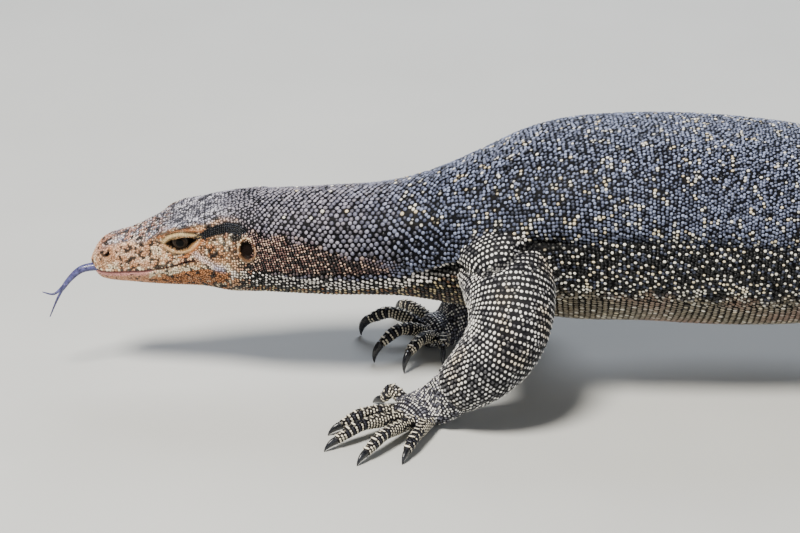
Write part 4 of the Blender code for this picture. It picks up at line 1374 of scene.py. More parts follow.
headRows = [headRing(x) for x in (*headPlaces(124, 2.0)[1:], 128.0)]
crownSpots = rowsOn(headRows, crownPitch, crownPitch, halves=[(0, 0, 0.11), (1, 0.89, 1)])
layHead(crownSpots, (1.22, 1.06, 0.40), 1.4, stir=0.9)
sideHalves = [(0, 0.05, 0.5), (1, 0.5, 0.95)]
sideSpots = rowsOn(headRows, lambda a: sidePitch(a) * 0.87, sidePitch, halves=sideHalves)
layHead(sideSpots, (0.90, 0.86, 0.30), 1.02, stir=1.1)
for batch in coat["scales_head"]:
    for p in batch["place"]:
        claim(cover, p.tolist(), 0.0)
print("  head", scaleCount("scales_head"), "scales")


# Rows on the neck, trunk and tail
print("scales of the body")


def bodySpots(plan):
    first, last = plan["from"], plan["to"]
    rings = np.roll(bodyRings(first, last, 4, 64), 16, axis=1)
    grown = plan.get("growth", lambda reach: 1.0)
    halves = [(0.5, low, high) for low, high in plan["spans"]]

    def growing(key):
        return lambda a: plan[key] * grown(first + a)

    spots = rowsOn(rings, growing("step"), growing("pitch"), halves)
    spots["reach"] = first + (last - first) * spots["arc"] / spots["arcTotal"]
    spots["scaling"] = grown(spots["reach"]) * np.ones(len(spots["reach"]))
    return spots


# The neck's beads end along this ragged line, further back over the shoulders than on the side
def seamAt(z):
    return 228 + 34 * smoothstep(98, 124, z) + 2.2 * np.sin(z / 9) + 1.5 * np.sin(z / 3.7)


# Beads grow from the nape on, then shrink to the trunk's scales
def neckGrowth(reach):
    return np.interp(reach, (0, 20, 55, 95, 145), (0.72, 0.82, 1.0, 1.0, 0.78))


def trunkGrowth(reach):
    return np.interp(reach, (reachAt(218), reachAt(300), reachAt(420)), (1.26, 1.12, 1.0))


def layBody(plan):
    spots = bodySpots(plan)
    beyond = spots["place"][:, 0] - seamAt(spots["place"][:, 2])
    spots = picked(spots, beyond < 0 if plan.get("ahead") else beyond > -1.2)
    if "above" in plan:
        over = bodyHeight(spots["place"], spots["reach"]) > sideTop(spots["place"])
        spots = picked(spots, over == plan["above"])
    spots["place"][:, 0] += plan.get("slant", 0.0) * (neckZ - spots["place"][:, 2])
    high = smoothstep(0.45, 0.85, bodyHeight(spots["place"], spots["reach"]))
    stir = plan.get("stir", 0.3) * (1 + plan.get("stirTop", 0.0) * high)
    kept = settled(spots, coverTree, coverSmooth, cover, plan["gap"] * spots["scaling"], stir=stir)
    kept = picked(kept, kept["place"][:, 2] > 1.2)
    tones = bodyMarkingsAndPaintedLight(kept["place"], kept["reach"])
    low = 1 - smoothstep(-0.75, -0.35, bodyHeight(kept["place"], kept["reach"]))
    grown = kept["scaling"]
    sizes = np.array(plan["size"]) * np.column_stack([grown, grown, grown * (1 - 0.45 * low)])
    for piece, (start, end) in bodyPieces.items():
        mine = (kept["reach"] >= start) & (kept["reach"] < end)
        if mine.any():
            part = picked(kept, mine)
            unwrap = np.column_stack([(part["reach"] - start) / (end - start), part["turn"]])
            lay(piece, part, sizes[mine], [tone[mine] for tone in tones[:2]], unwrap, 8.0, tones[2][mine])


# Where the coat is cut into pieces, none of them over 200,000 triangles
bodyCuts = (-20, *(reachAt(x) for x in (233, 360, 470, 585, 742, 985)), bodyReach[-1])
bodyNames = ("neck", "shoulders", "trunk_front", "trunk_rear", "hips", "tail_base", "tail_end")
bodyPieces = {"scales_" + name: bodyCuts[i:i + 2] for i, name in enumerate(bodyNames)}
neckTo = reachAt(275)
# Each region: from and to along the body, row step and pitch around, spans of the ring from the belly
# round over the back, half length, half width and height of its scales, and how close two may stand
bodyPlan = [
    # neck: back, sides and throat
    {"from": -9, "to": neckTo, "step": 2.25, "pitch": 6.7, "spans": [(0.22, 0.78)],
     "size": (2.2, 2.15, 1.3), "gap": 2.9, "growth": neckGrowth, "ahead": True, "above": True, "stir": 0.45},
    {"from": -9, "to": neckTo, "step": 2.5, "pitch": 2.15, "spans": [(0.205, 0.35), (0.65, 0.795)],
     "size": (1.35, 1.25, 0.8), "gap": 1.5, "growth": neckGrowth, "ahead": True, "above": False,
     "slant": 0.3, "stir": 0.4},
    {"from": -9, "to": neckTo, "step": 3.3, "pitch": 3.9, "spans": [(0, 0.212), (0.788, 1)],
     "size": (1.75, 1.72, 1.35), "gap": 2.3, "growth": neckGrowth, "ahead": True, "stir": 0.5},
    # trunk: breast, back with flanks, and belly
    {"from": reachAt(218), "to": reachAt(300), "step": 2.9, "pitch": 2.95, "spans": [(0, 0.175), (0.825, 1)],
     "size": (1.65, 1.6, 0.8), "gap": 2.0, "stir": 0.5},
    {"from": reachAt(218), "to": reachAt(742), "step": 2.65, "pitch": 2.62, "spans": [(0.175, 0.825)],
     "size": (1.68, 1.5, 0.95), "gap": 1.8, "growth": trunkGrowth, "stir": 0.62, "stirTop": 0.45},
    {"from": reachAt(299), "to": reachAt(742), "step": 4.7, "pitch": 2.75, "spans": [(0, 0.175), (0.825, 1)],
     "size": (2.5, 1.5, 0.42), "gap": 2.0},
    # tail
    {"from": reachAt(742), "to": reachAt(985), "step": 4.4, "pitch": 2.8, "spans": [(0, 1)],
     "size": (2.6, 1.4, 0.62), "gap": 2.0},
    {"from": reachAt(985), "to": bodyReach[-1] - 4, "step": 5.0, "pitch": 2.7, "spans": [(0, 1)],
     "size": (2.9, 1.28, 0.5), "gap": 1.8},
]
for plan in bodyPlan:
    layBody(plan)
for piece in bodyPieces:
    print(" ", piece, scaleCount(piece), "scales")

# Rows on the limbs, hands and feet
print("scales of the limbs")
limbCoat = {
    # row step, pitch around, scale size, least gap, stir, lift and variety
    "limb": (3.1, 3.5, (1.85, 1.72, 0.95), 2.4, 0.3, 8.0, 0.26),
    "palm": (2.3, 2.5, (1.3, 1.25, 0.42), 1.7, 0.2, 6.0, 0.2),
    "scute": (2.5, 9.0, (1.02, 3.4, 0.45), 1.6, 0.0, 3.0, 0.06),
    "toe": (2.5, 2.3, (1.0, 1.25, 0.38), 1.5, 0.1, 3.0, 0.12),
}


def layLimb(piece, rings, kind, spans, floor, window, place, marks):
    step, pitch, size, spacing, stir, lift, variety = limbCoat[kind]
    halves = spans and [(0.5, low, high) for low, high in spans]
    spots = rowsOn(rings, step, pitch, halves=halves)
    if kind == "scute":
        spots = picked(spots, np.abs(spots["turn"] - 0.5) < 0.02)
    kept = settled(spots, coverTree, coverSmooth, cover, spacing, stir=stir)
    kept = picked(kept, kept["place"][:, 2] > floor)
    share = kept["arc"] / kept["arcTotal"]
    start, end = window
    unwrap = np.column_stack([start + (end - start) * share, place(kept["turn"])])
    tones = marks(kept, share)
    lay(piece, kept, size, tones[:2], unwrap, lift, tones[2], variety)


def wholeTurn(turn):
    return turn


for number, (limbName, spec) in enumerate(limbs.items()):
    piece = "scales_" + limbName
    layLimb(piece, limbRings(spec, 40, 48), "limb", None, 1.2, (0, 0.6), wholeTurn,
            lambda kept, share: limbMarkings(kept["place"], share))
    palms = [(palmRings(spec, 36), (0.6, 0.72))]
    if "heel" in spec:
        palms.insert(0, (heelRings(spec, 0.05, 1.45, 48), (0.99, 1.0)))
    for rings, window in palms:
        layLimb(piece, rings, "palm", None, 1.6, window, wholeTurn,
                lambda kept, share: palmMarkings(kept["place"]))
    for i, toe in enumerate(spec["toes"]):
        rings = np.roll(toeRings(spec, toe, 24, 24), 6, axis=1)
        for kind, spans in (("scute", [(0.34, 0.66)]), ("toe", [(0.06, 0.40), (0.60, 0.94)])):
            layLimb(piece, rings, kind, spans, 1.4, (0.73, 0.99), lambda turn: (i + turn) / 5,
                    lambda kept, share: toeMarkings(kept["place"], kept["row"], share, number * 5 + i))
    print(" ", piece, scaleCount(piece), "scales")

# Small granules where the rows leave bare skin
print("granules between the rows")
granule = {
    "clear": 1.8, "far": 14,  # from the nearest scale, at least and at most
    "gap": 1.8,  # from other granules
    "least": 0.75, "most": 1.5, "tall": 0.55,
    "dark": 0.75, "dim": 0.16,  # the share that is dark, and how much of its neighbour's tone is left there
}
known = {}
for key in coat["scales_head"][0]:
    known[key] = np.concatenate([batch[key] for batches in coat.values() for batch in batches])
owner = np.concatenate([np.full(scaleCount(name), i) for i, name in enumerate(coat)])
pieceNames = list(coat)


def searchTree(places):
    tree = KDTree(len(places))
    for i, p in enumerate(places):
        tree.insert(p, i)
    tree.balance()
    return tree


nearby = searchTree(known["place"])


def withMiddles(points):
    return np.concatenate([[points[list(face)].mean(axis=0) for face in coverFaces], points])


candidates = withMiddles(coverPoints)
outwards = np.concatenate([coverSmooth, normalsOf(coverPoints, coverFaces)])
# only the head's own points can lie in its openings, so all others are set far away
x, y, z = onHead(withMiddles(np.concatenate([np.full_like(skinPoints, 999), headPoints])))
onSide = np.abs(y) > head["sideY"]
openings = (inOval(x, z, head["ear"]) < 1.12) | (inOval(x, z, head["nostril"]) < 1.3)
openings |= (openingDepth(x, z) > -1.2) & onSide & (x < napeX)
openings |= (np.abs(z - mouthLevel(x) + 0.6) < 1.8) & (x < 82)
openings |= (nearLine(x, z, eye["upperFold"], eye["lowerFold"]) < 2.2) & onSide
order = dice.permutation(np.flatnonzero(~openings))
added = {name: [] for name in pieceNames}
across = np.cross(known["high"], known["long"])
for i in order:
    p, out = candidates[i], outwards[i]
    if p[2] < 2.0:
        continue
    found, j, distance = nearby.find(p)
    if distance < granule["clear"] or distance > granule["far"]:
        continue
    away = p - known["place"][j]
    spread = math.hypot(away @ known["long"][j] / known["size"][j][0], away @ across[j] / known["size"][j][1])
    if spread < 1.4 or known["high"][j] @ out < 0.3:
        continue
    hit = coverTree.ray_cast(Vector(p + out * 5), Vector(-out), 9.0)[0]
    if hit is None or (hit - Vector(p)).length > 0.8:
        continue
    if claim(cover, p.tolist(), granule["gap"]):
        added[pieceNames[owner[j]]].append((p, out, j, distance))
for name, found in added.items():
    if not found:
        continue
    place, out, source, distance = (np.array([item[k] for item in found]) for k in range(4))
    lie = laidFlat(known["long"][source], out)
    radius = np.clip((distance - 0.4) * 0.6, granule["least"], granule["most"])[:, None]
    spots = {"place": place, "out": out, "lie": lie}
    # on the head they keep their neighbour's colour
    dark = (dice.random(len(found)) < granule["dark"]) & (name != "scales_head")
    tones = known["tone"][source] * np.where(dark, granule["dim"], 1.0)[:, None], known["edge"][source]
    size = radius * (1.05, 1.0, granule["tall"])
    lay(name, spots, size, tones, known["unwrap"][source], 6.0, known["fill"][source])
    print(" ", name, len(found), "granules")


# Adds a node: settings are its properties, inputs are values or the sockets that they come from,
# and stops the places and colours of a ramp
def addNode(tree, kind, settings=None, inputs=None, stops=()):
    node = tree.nodes.new(kind)
    for name, value in (settings or {}).items():
        setattr(node, name, value)
    for key, value in (inputs or {}).items():
        if isinstance(value, bpy.types.NodeSocket):
            tree.links.new(value, node.inputs[key])
        else:
            node.inputs[key].default_value = value
    if stops:
        elements = node.color_ramp.elements
        while len(elements) < len(stops):
            elements.new(0.5)
        for element, (at, code) in zip(elements, stops):
            element.position = at
        for element, (at, code) in zip(elements, stops):
            element.color = rgba(code)
    return node


def newMaterial(name):
    made = bpy.data.materials.new(name)
    made.use_nodes = True
    made.node_tree.nodes.clear()
    return made, made.node_tree


def finishMaterial(tree, settings):
    shader = addNode(tree, "ShaderNodeBsdfPrincipled", inputs=settings)
    addNode(tree, "ShaderNodeOutputMaterial", inputs={"Surface": shader.outputs["BSDF"]})


def rgba(code):
    return (*paint(code), 1.0)


# Fine relief of a surface, scale being its noise's cells in a metre: the roughness, between two values,
# and the normal that it gives the shader
def surfaceGrain(tree, scale, detail, least, most, strength, distance):
    place = addNode(tree, "ShaderNodeTexCoord").outputs["Object"]
    noise = addNode(tree, "ShaderNodeTexNoise", inputs={"Vector": place, "Scale": scale, "Detail": detail})
    height = noise.outputs["Fac"]
    rough = addNode(tree, "ShaderNodeMapRange", inputs={
        "Value": height, "From Min": 0.3, "From Max": 0.7, "To Min": least, "To Max": most,
    })
    relief = addNode(tree, "ShaderNodeBump", inputs={
        "Strength": strength, "Distance": distance, "Height": height,
    })
    return {"Roughness": rough.outputs["Result"], "Normal": relief.outputs["Normal"]}


# Keratin scales, dry and smooth from the last moult: dark at the rim, partly their dark skin and partly
# painted shade, their own tone on top, a satin glint
scaleMaterial, tree = newMaterial("satin keratin scales")
read = {}
for name in ("tone", "edge", "rise", "fill"):  # fill is how far the tone spreads from the top
    read[name] = addNode(tree, "ShaderNodeAttribute", {"attribute_name": name}).outputs
filled = addNode(tree, "ShaderNodeMath", {"operation": "ADD"}, {
    0: read["rise"]["Fac"], 1: read["fill"]["Fac"],
})
# over this range of rise plus fill the dark rim, painted shade in part, gives way to the tone on top
reach = addNode(tree, "ShaderNodeMapRange", {"interpolation_type": "SMOOTHSTEP"}, {
    "Value": filled.outputs["Value"], "From Min": 0.36, "From Max": 0.76,
})
mixed = addNode(tree, "ShaderNodeMix", {"data_type": "RGBA"}, {
    0: reach.outputs["Result"], 6: read["edge"]["Color"], 7: read["tone"]["Color"],
})
finishMaterial(tree, {
    "Base Color": mixed.outputs[2], "IOR": 1.54, "Specular IOR Level": 0.38,
    **surfaceGrain(tree, 900.0, 3.0, 0.26, 0.44, 0.25, 0.0002),  # skin grain near 1 mm
})

# Bare skin between the scales: the same markings, darker, partly dark skin and partly painted shade, dull and
# finely creased
skinMaterial, tree = newMaterial("skin between the scales")
tone = addNode(tree, "ShaderNodeAttribute", {"attribute_name": "tone"})
finishMaterial(tree, {
    "Base Color": tone.outputs["Color"], "IOR": 1.45, "Specular IOR Level": 0.1,
    **surfaceGrain(tree, 1100.0, 4.0, 0.50, 0.70, 0.4, 0.0003),  # creases near 0.9 mm
})


# One scale: a low dome with a closed base sunk in the skin, rise 0 at the rim to 1 on top
def scaleShape(name, sides, rings):
    turn = turnsOf(sides)
    c, s = np.cos(turn), np.sin(turn)
    points, rises = [], []
    for radius, height, tilt, share in rings:
        points += [(a * radius + 0.06 * share, b * radius, height + tilt * a) for a, b in zip(c, s)]
        rises += [share] * sides
    points.append((0.06, 0.0, 1.0))
    top = len(points) - 1
    faces = [tuple(range(sides))[::-1]]
    for r in range(len(rings)):
        for k in range(sides):
            low, after = r * sides + k, r * sides + (k + 1) % sides
            above = (after + sides, low + sides) if r < len(rings) - 1 else (top,)
            faces.append((low, after, *above))
    made = newObject(name, points, faces, placed=False)
    mesh = made.data
    rise = mesh.attributes.new("rise", "FLOAT", "POINT")
    rise.data.foreach_set("value", [*rises, 1.0])
    spot = mesh.attributes.new("spot", "FLOAT_VECTOR", "POINT")
    flat = [(p[0] * 0.5, p[1] * 0.5, 0.0) for p in points]
    spot.data.foreach_set("vector", np.array(flat).ravel())
    bpy.context.scene.collection.objects.unlink(made)
    return made


def growTree():
    tree = bpy.data.node_groups.new("grow scales", "GeometryNodeTree")
    sockets = {
        "Geometry": "Geometry", "Scale": "Object", "Height": "Float", "Patch": "Float", "Finish": "Material",
    }
    for name, kind in sockets.items():
        tree.interface.new_socket(name, in_out="INPUT", socket_type="NodeSocket" + kind)
    tree.interface.new_socket("Geometry", in_out="OUTPUT", socket_type="NodeSocketGeometry")
    given = addNode(tree, "NodeGroupInput").outputs
    read = {}
    for name in ("turn", "size", "root", "spot"):
        settings = {"data_type": "FLOAT_VECTOR"}
        named = addNode(tree, "GeometryNodeInputNamedAttribute", settings, {"Name": name})
        read[name] = named.outputs["Attribute"]
    tall = addNode(tree, "ShaderNodeCombineXYZ", inputs={"X": 1.0, "Y": 1.0, "Z": given["Height"]})
    sized = addNode(tree, "ShaderNodeVectorMath", {"operation": "MULTIPLY"}, {
        0: read["size"], 1: tall.outputs["Vector"],
    })
    shape = addNode(tree, "GeometryNodeObjectInfo", inputs={"Object": given["Scale"]})
    turned = addNode(tree, "FunctionNodeEulerToRotation", inputs={"Euler": read["turn"]})
    grown = addNode(tree, "GeometryNodeInstanceOnPoints", inputs={
        "Points": given["Geometry"], "Instance": shape.outputs["Geometry"],
        "Rotation": turned.outputs["Rotation"], "Scale": sized.outputs["Vector"],
    })
    real = addNode(tree, "GeometryNodeRealizeInstances", inputs={"Geometry": grown.outputs["Instances"]})
    small = addNode(tree, "ShaderNodeVectorMath", {"operation": "SCALE"}, {
        0: read["spot"], "Scale": given["Patch"],
    })
    at = addNode(tree, "ShaderNodeVectorMath", {"operation": "ADD"}, {
        0: read["root"], 1: small.outputs["Vector"],
    })
    stored = addNode(tree, "GeometryNodeStoreNamedAttribute", {"data_type": "FLOAT2", "domain": "CORNER"}, {
        "Geometry": real.outputs["Geometry"], "Name": "OFBake", "Value": at.outputs["Vector"],
    })
    finished = addNode(tree, "GeometryNodeSetMaterial", inputs={
        "Geometry": stored.outputs["Geometry"], "Material": given["Finish"],
    })
    addNode(tree, "NodeGroupOutput", inputs={"Geometry": finished.outputs["Geometry"]})
    return tree


growth = growTree()
# Rings of each shape from its sunk base up: radius, height, tilt towards the rear,
# and how far up the markings count it
shapes = {
    "bead": scaleShape("bead scale", 7, [
        (1.0, -0.45, 0, 0), (0.86, 0.34, 0.04, 0.34), (0.48, 0.84, 0.05, 0.78),
    ]),
    "tile": scaleShape("tile scale", 6, [(1.0, -0.45, 0, 0), (0.68, 0.70, 0.05, 0.62)]),
}
growBuild = {"height": 1.0, "patch": 0.003, "margin": 0.002}  # the last two in the unwrap's own units


# Every piece rides the one body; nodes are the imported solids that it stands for
def filed(made, slot, *nodes):
    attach(made, "root")
    if nodes:
        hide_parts(*nodes)


# Named values for each point of a mesh, one number or three
def store(mesh, name, values):
    values = np.asarray(values, np.float32)
    kind, field = ("FLOAT_VECTOR", "vector") if values.ndim == 2 else ("FLOAT", "value")
    mesh.attributes.new(name, kind, "POINT").data.foreach_set(field, values.ravel())


def growPiece(name, shape, slot):
    batches = coat[name]
    gathered = {key: np.concatenate([batch[key] for batch in batches]) for key in batches[0]}
    long, high = gathered["long"], gathered["high"]
    side = np.cross(high, long)
    gathered["turn"] = np.column_stack([
        np.arctan2(side[:, 2], high[:, 2]),
        -np.arcsin(np.clip(long[:, 2], -1, 1)),
        np.arctan2(long[:, 1], long[:, 0]),
    ])
    gathered["size"] = gathered["size"] * mm
    inset = growBuild["margin"]
    unwrap = inset + (1 - 2 * inset) * np.clip(gathered["unwrap"], 0, 1)
    gathered["root"] = np.column_stack([unwrap, np.zeros(len(long))])
    mesh = bpy.data.meshes.new(name)
    mesh.from_pydata(toFrame(gathered["place"]).tolist(), [], [])
    for key in ("turn", "size", "tone", "edge", "root", "fill"):
        store(mesh, key, gathered[key])
    made = bpy.data.objects.new(name, mesh)
    bpy.context.scene.collection.objects.link(made)
    change = made.modifiers.new("grow", "NODES")
    change.node_group = growth
    sockets = {item.name: item.identifier for item in growth.interface.items_tree if item.in_out == "INPUT"}
    change[sockets["Scale"]] = shapes[shape]
    change[sockets["Height"]] = growBuild["height"]
    change[sockets["Patch"]] = growBuild["patch"]
    change[sockets["Finish"]] = scaleMaterial
    bpy.context.view_layer.update()
    grown = bpy.data.meshes.new_from_object(made.evaluated_get(bpy.context.evaluated_depsgraph_get()))
    made.modifiers.remove(change)
    made.data = grown
    for key in ("turn", "size", "root", "spot"):
        if key in grown.attributes:
            grown.attributes.remove(grown.attributes[key])
    grown.shade_smooth()
    filed(made, slot)
    return made


print("growing the scales")
beaded = ("scales_neck", "scales_arm_left", "scales_arm_right")
grown = 0
for name in coat:
    slot = "hide_spotted" if name.startswith(("scales_arm", "scales_leg")) else "hide_dark"
    if name == "scales_head":
        slot = "head_tan"
    made = growPiece(name, "bead" if name in beaded else "tile", slot)
    made.data.calc_loop_triangles()
    grown += len(made.data.loop_triangles)
    print(" ", name, len(made.data.loop_triangles), "triangles")
print("  in all", grown)

# The skins, each point in the tone of the scales about it, taken almost all from their dark rims: dark skin,
# with painted shade between the scales
print("skins")
everyBatch = [batch for batches in coat.values() for batch in batches]
everyTone = np.concatenate([batch["tone"] * 0.02 + batch["edge"] * 0.80 for batch in everyBatch])
nearest = searchTree(np.concatenate([batch["place"] for batch in everyBatch]))


def skinTones(points, count=3):
    tones = np.zeros((len(points), 3))
    for i, p in enumerate(points):
        found = nearest.find_n(p, count)
        tones[i] = sum(everyTone[j] for _, j, _ in found) / count
    return tones


def skinPiece(name, points, faces, tones, slot, nodes):
    made = newObject(name, points, faces, skinMaterial)
    store(made.data, "tone", tones)
    filed(made, slot, *nodes)


limbNodes = []
for limbName, spec in limbs.items():
    limbNodes += [limbName + "_upper", limbName + "_lower", spec["foot"]]
skinPiece("hide", skinPoints, skinFaces, skinTones(skinPoints), "hide_dark",
          ["neck", "chest", "belly", "hips", "tail_1", "tail_2", "tail_3", "tail_4", *limbNodes])

# dark colours in the hollows and slits are painted shade: in the nostril, the eye's socket and along the lid
# rims, over the ear's dark membrane and the lips' dark red join
skinColours = {
    "earRim": "#8c6442", "earHollow": "#150c09", "nostril": "#120c0b",
    "upperFold": "#dcb87c", "lowerFold": "#c79a66", "cheekFold": "#9c6238",
    "rim": "#8f6a42", "rimLine": "#150f0c", "lip": "#d69a92", "mouth": "#451822", "socket": "#171210",
}
x, y, z = onHead(headPoints)
onSide = np.abs(y) > head["sideY"]
ear = inOval(x, z, head["ear"])
nostril = inOval(x, z, head["nostril"])
rims = nearLine(x, z, eye["upperRim"], eye["lowerRim"])
down = z - mouthLevel(x)
folded = []
for fold, reach in (("upperFold", 1.4), ("lowerFold", 0.9), ("cheekFold", 0.8)):
    away = nearLine(x, z, eye[fold])
    folded.append((fold, (1 - smoothstep(0.5 * reach, reach, away)) * onSide * 0.95))
headTones = painted(
    skinTones(rolled(headPoints)), skinColours,
    ("earRim", bump(ear - 1.12, 0.12) * (np.abs(y) > 10) * 0.8),
    # the ear's dark membrane, darker in its hollow as painted shade
    ("earHollow", (1 - smoothstep(0.85, 1.05, ear)) * (np.abs(y) > 10)),
    # painted shade inside the nostril
    ("nostril", (1 - smoothstep(0.6, 1.0, nostril)) * (np.abs(y) > 3)),
    *folded,
    ("rim", (1 - smoothstep(0.8, 1.5, rims)) * onSide * 0.8),
    # painted shade where the lids meet the eyeball
    ("rimLine", (1 - smoothstep(0.2, 0.7, rims)) * onSide * 0.9),
    ("lip", smoothstep(-2.6, -2.0, down) * (down < 0) * (1 - smoothstep(42, 52, x)) * 0.95),
    # the lips' dark red join, with painted shade in the slit
    ("mouth", bump(down, 0.75) * (x < 82) * 0.97),
    # painted shade in the eye's socket round the globe
    ("socket", (openingDepth(x, z) > -0.6) * onSide * 0.95),
)
skinPiece("head_skin", rolled(headPoints), headFaces, headTones, "head_tan", ["head", "lower_jaw"])

# Eyes: a wet globe whose dark brown iris has a thin gold ring round the pupil
print("eyes, tongue and claws")
eyeMaterial, tree = newMaterial("wet eye with a dark iris")
# gaze is 0 at the middle of the pupil and 1 at the back
gaze = addNode(tree, "ShaderNodeAttribute", {"attribute_name": "gaze"})
irisStops = (
    (0.0, "#000000"), (0.100, "#010101"), (0.112, "#33261a"), (0.130, "#261b14"), (0.168, "#2a1f17"),
    (0.184, "#4a3f33"), (0.200, "#0e0b09"), (1.0, "#050404"),
)
ramp = addNode(tree, "ShaderNodeValToRGB", inputs={"Fac": gaze.outputs["Fac"]}, stops=irisStops)
place = addNode(tree, "ShaderNodeTexCoord")
fleck = addNode(tree, "ShaderNodeTexNoise", inputs={
    "Vector": place.outputs["Object"], "Scale": 2500.0, "Detail": 2.0,
})
spread = addNode(tree, "ShaderNodeMapRange", inputs={
    "Value": fleck.outputs["Fac"], "To Min": 0.7, "To Max": 1.3,
})
shade = addNode(tree, "ShaderNodeVectorMath", {"operation": "SCALE"}, {
    0: ramp.outputs["Color"], "Scale": spread.outputs["Result"],
})
finishMaterial(tree, {
    "Base Color": shade.outputs["Vector"], "Roughness": 0.3, "Specular IOR Level": 0.05, "IOR": 1.376,
    "Coat Weight": 0.22, "Coat Roughness": 0.03, "Coat IOR": 1.376,
})

# Tongue: wet blue violet flesh, blotched with a darker tone
tongueMaterial, tree = newMaterial("wet tongue")
place = addNode(tree, "ShaderNodeTexCoord")
noise = addNode(tree, "ShaderNodeTexNoise", inputs={
    "Vector": place.outputs["Object"], "Scale": 420.0, "Detail": 3.0,
})
grain = noise.outputs["Fac"]
ramp = addNode(tree, "ShaderNodeValToRGB", inputs={"Fac": grain}, stops=((0.3, "#2c2a4c"), (0.7, "#5f5f92")))
relief = addNode(tree, "ShaderNodeBump", inputs={"Strength": 0.3, "Distance": 0.0003, "Height": grain})
finishMaterial(tree, {
    "Base Color": ramp.outputs["Color"], "Roughness": 0.42, "IOR": 1.4, "Normal": relief.outputs["Normal"],
    "Coat Weight": 0.3, "Coat Roughness": 0.08, "Subsurface Weight": 0.15, "Subsurface Scale": 0.002,
})

# Claws: black horn, polished by use, greyer at the root and at the worn tip
hornMaterial, tree = newMaterial("black horn")
share = addNode(tree, "ShaderNodeAttribute", {"attribute_name": "share"})
hornStops = ((0.0, "#2b2a2c"), (0.12, "#121317"), (0.75, "#16181f"), (1.0, "#3b3a3c"))
ramp = addNode(tree, "ShaderNodeValToRGB", inputs={"Fac": share.outputs["Fac"]}, stops=hornStops)
finishMaterial(tree, {
    "Base Color": ramp.outputs["Color"], "IOR": 1.56,
    **surfaceGrain(tree, 700.0, 3.0, 0.20, 0.38, 0.2, 0.0002),
})


for side, name in ((-1, "left"), (1, "right")):
    middle = np.array((eye["x"], eye["y"] * side, eye["z"] + head["z"]))
    ways = []
    rows, sides = 22, 32
    for r in range(1, rows):
        a = math.pi * r / rows
        for s in range(sides):
            b = 2 * math.pi * s / sides
            ways.append((math.sin(a) * math.cos(b), side * math.cos(a), math.sin(a) * math.sin(b)))
    gazeWay = unit((-0.10, side, 0.06))
    rings = np.array(ways).reshape(rows - 1, sides, 3)
    points, faces = loftOf(rings)
    points[-2], points[-1] = (0, side, 0), (0, -side, 0)
    angle = np.arccos(np.clip(unit(points) @ gazeWay, -1, 1)) / math.pi
    cornea = 1 + 0.035 * bump(angle, 0.17)
    globe = rolled(middle + points * cornea[:, None] * eye["radius"])
    made = newObject("eyeball_" + name, globe, faces, eyeMaterial)
    store(made.data, "gaze", angle)
    filed(made, "eye_dark", "eye_" + name)

stem = spreadAlong(tongue["stem"], 30)
stemRings = tubeRings(stem, stretched(tongue["radii"], 30) * 0.92, 24, flatten=1.1, frameUp=(0.3, 0, 1))
turn = turnsOf(24)
groove = 1 - 0.08 * np.exp(-((np.cos(turn) / 0.22) ** 2)) * (np.sin(turn) > 0)
middles = stemRings.mean(axis=1, keepdims=True)
stemRings = middles + (stemRings - middles) * groove[None, :, None]
parts = [loftOf(stemRings)]
for side, points in tongue["tips"].items():
    start = stem[-1] + np.array((2.5, 0.9 * side, 4))
    path = spreadAlong([start, *points], 20)
    parts.append(loftOf(tubeRings(path, stretched(tongue["tipRadii"], 20), 14, frameUp=(0.6, 0, 1))))
tonguePoints, tongueFaces, _ = fused(parts, 0.45, 2)
made = newObject("tongue_soft", tonguePoints, tongueFaces, tongueMaterial)
filed(made, "tongue_violet", "tongue")

steps = clawBuild["steps"]
along = np.linspace(0, 1, steps + 1)
for limbName, spec in limbs.items():
    parts, shares = [], []
    length, firstPitch, lastPitch = spec["claw"]
    root = spec["toeRadius"][1]
    for toe in spec["toes"]:
        points, way = toeCourse(spec, toe, toeBuild["steps"])
        ahead = unit(points[-1] - points[-2])
        start = points[-1] + ahead * 0.15
        path, at = [start], start.copy()
        for share in (np.arange(steps) + 0.5) / steps:
            pitch = math.radians(firstPitch + (lastPitch - firstPitch) * share)
            at = at + (way * math.cos(pitch) + np.array((0, 0, -math.sin(pitch)))) * length / steps
            path.append(at)
        radii = np.minimum(root * stretched(clawBuild["taper"], steps + 1), root * 0.82) - 0.05
        rings = tubeRings(path, radii, clawBuild["sides"], clawBuild["flatten"], (way[0], way[1], 1))
        rings[0] -= ((rings[0] - start) @ ahead)[:, None] * ahead
        stretch = (start[2] - clawBuild["clearance"]) / (start[2] - rings[-1][:, 2].min())
        rings[1:, :, 2] = start[2] + (rings[1:, :, 2] - start[2]) * stretch
        parts.append(loftOf(rings))
        shares.append(np.concatenate([np.repeat(along, clawBuild["sides"]), (0, 1)]))
    made = newObject("claws_" + spec["foot"], *joined(parts), hornMaterial)
    store(made.data, "share", np.concatenate(shares))
    filed(made, "claw_black", *(f"claw_{spec['foot']}_{i + 1}" for i in range(5)))

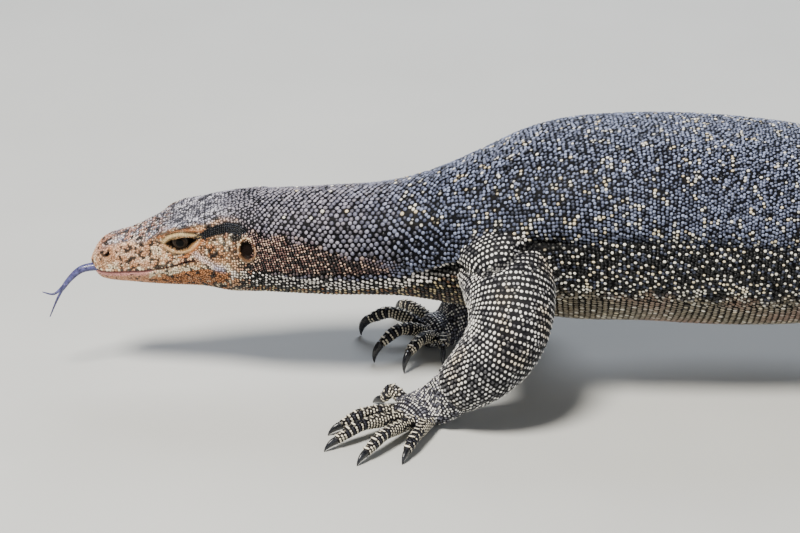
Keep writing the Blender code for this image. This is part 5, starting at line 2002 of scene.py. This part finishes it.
# Floor, lights and camera: a pale matt plaster floor, soft boxes and the photograph's angle
print("floor, lights and camera")
floorMaterial, tree = newMaterial("pale matt plaster")
place = addNode(tree, "ShaderNodeTexCoord")
mottle = addNode(tree, "ShaderNodeTexNoise", inputs={
    "Vector": place.outputs["Object"], "Scale": 6.0, "Detail": 2.0,
})
plasterStops = ((0.3, "#bcbdb9"), (0.7, "#c1c2be"))
ramp = addNode(tree, "ShaderNodeValToRGB", inputs={"Fac": mottle.outputs["Fac"]}, stops=plasterStops)
finishMaterial(tree, {"Base Color": ramp.outputs["Color"], "Roughness": 0.9})
corners = [(-9, -9, 0), (9, -9, 0), (9, 9, 0), (-9, 9, 0)]
floor = newObject("floor", corners, [(0, 1, 2, 3)], floorMaterial, placed=False)

lamps = {
    # place from the animal's middle in m, size in m, power in W, colour
    "key": ((-0.8, -1.1, 2.5), 0.9, 182, "#fffaf2"),
    "fill": ((1.6, -2.0, 1.0), 2.2, 16, "#eef3ff"),
    "back": ((0.4, 1.9, 1.7), 1.6, 50, "#e8f0ff"),
}
shotAim = toFrame((231, 0, 85.5))
for name, (at, size, power, code) in lamps.items():
    lamp = bpy.data.lights.new(name, "AREA")
    lamp.shape, lamp.size, lamp.energy, lamp.color = "DISK", size, power, tuple(paint(code))
    made = bpy.data.objects.new(name, lamp)
    made.location = Vector(shotAim) + Vector(at)
    made.rotation_euler = (Vector(shotAim) - made.location).to_track_quat("-Z", "Y").to_euler()
    bpy.context.scene.collection.objects.link(made)
sky = bpy.data.worlds.new("pale sky")
sky.use_nodes = True
sky.node_tree.nodes.clear()
light = addNode(sky.node_tree, "ShaderNodeBackground", inputs={"Color": rgba("#e2e6ee"), "Strength": 0.185})
addNode(sky.node_tree, "ShaderNodeOutputWorld", inputs={"Surface": light.outputs["Background"]})
bpy.context.scene.world = sky

shot = {"distance": 2.4, "elevation": math.radians(23), "lens": 144.0}
camera = bpy.data.cameras.new("camera")
camera.lens, camera.sensor_width, camera.clip_start, camera.clip_end = shot["lens"], 36.0, 0.05, 50.0
made = bpy.data.objects.new("camera", camera)
away = Vector((0, -math.cos(shot["elevation"]), math.sin(shot["elevation"]))) * shot["distance"]
made.location = Vector(shotAim) + away
made.rotation_euler = (-away).to_track_quat("-Z", "Y").to_euler()
bpy.context.scene.collection.objects.link(made)
bpy.context.scene.camera = made

bpy.context.view_layer.update()
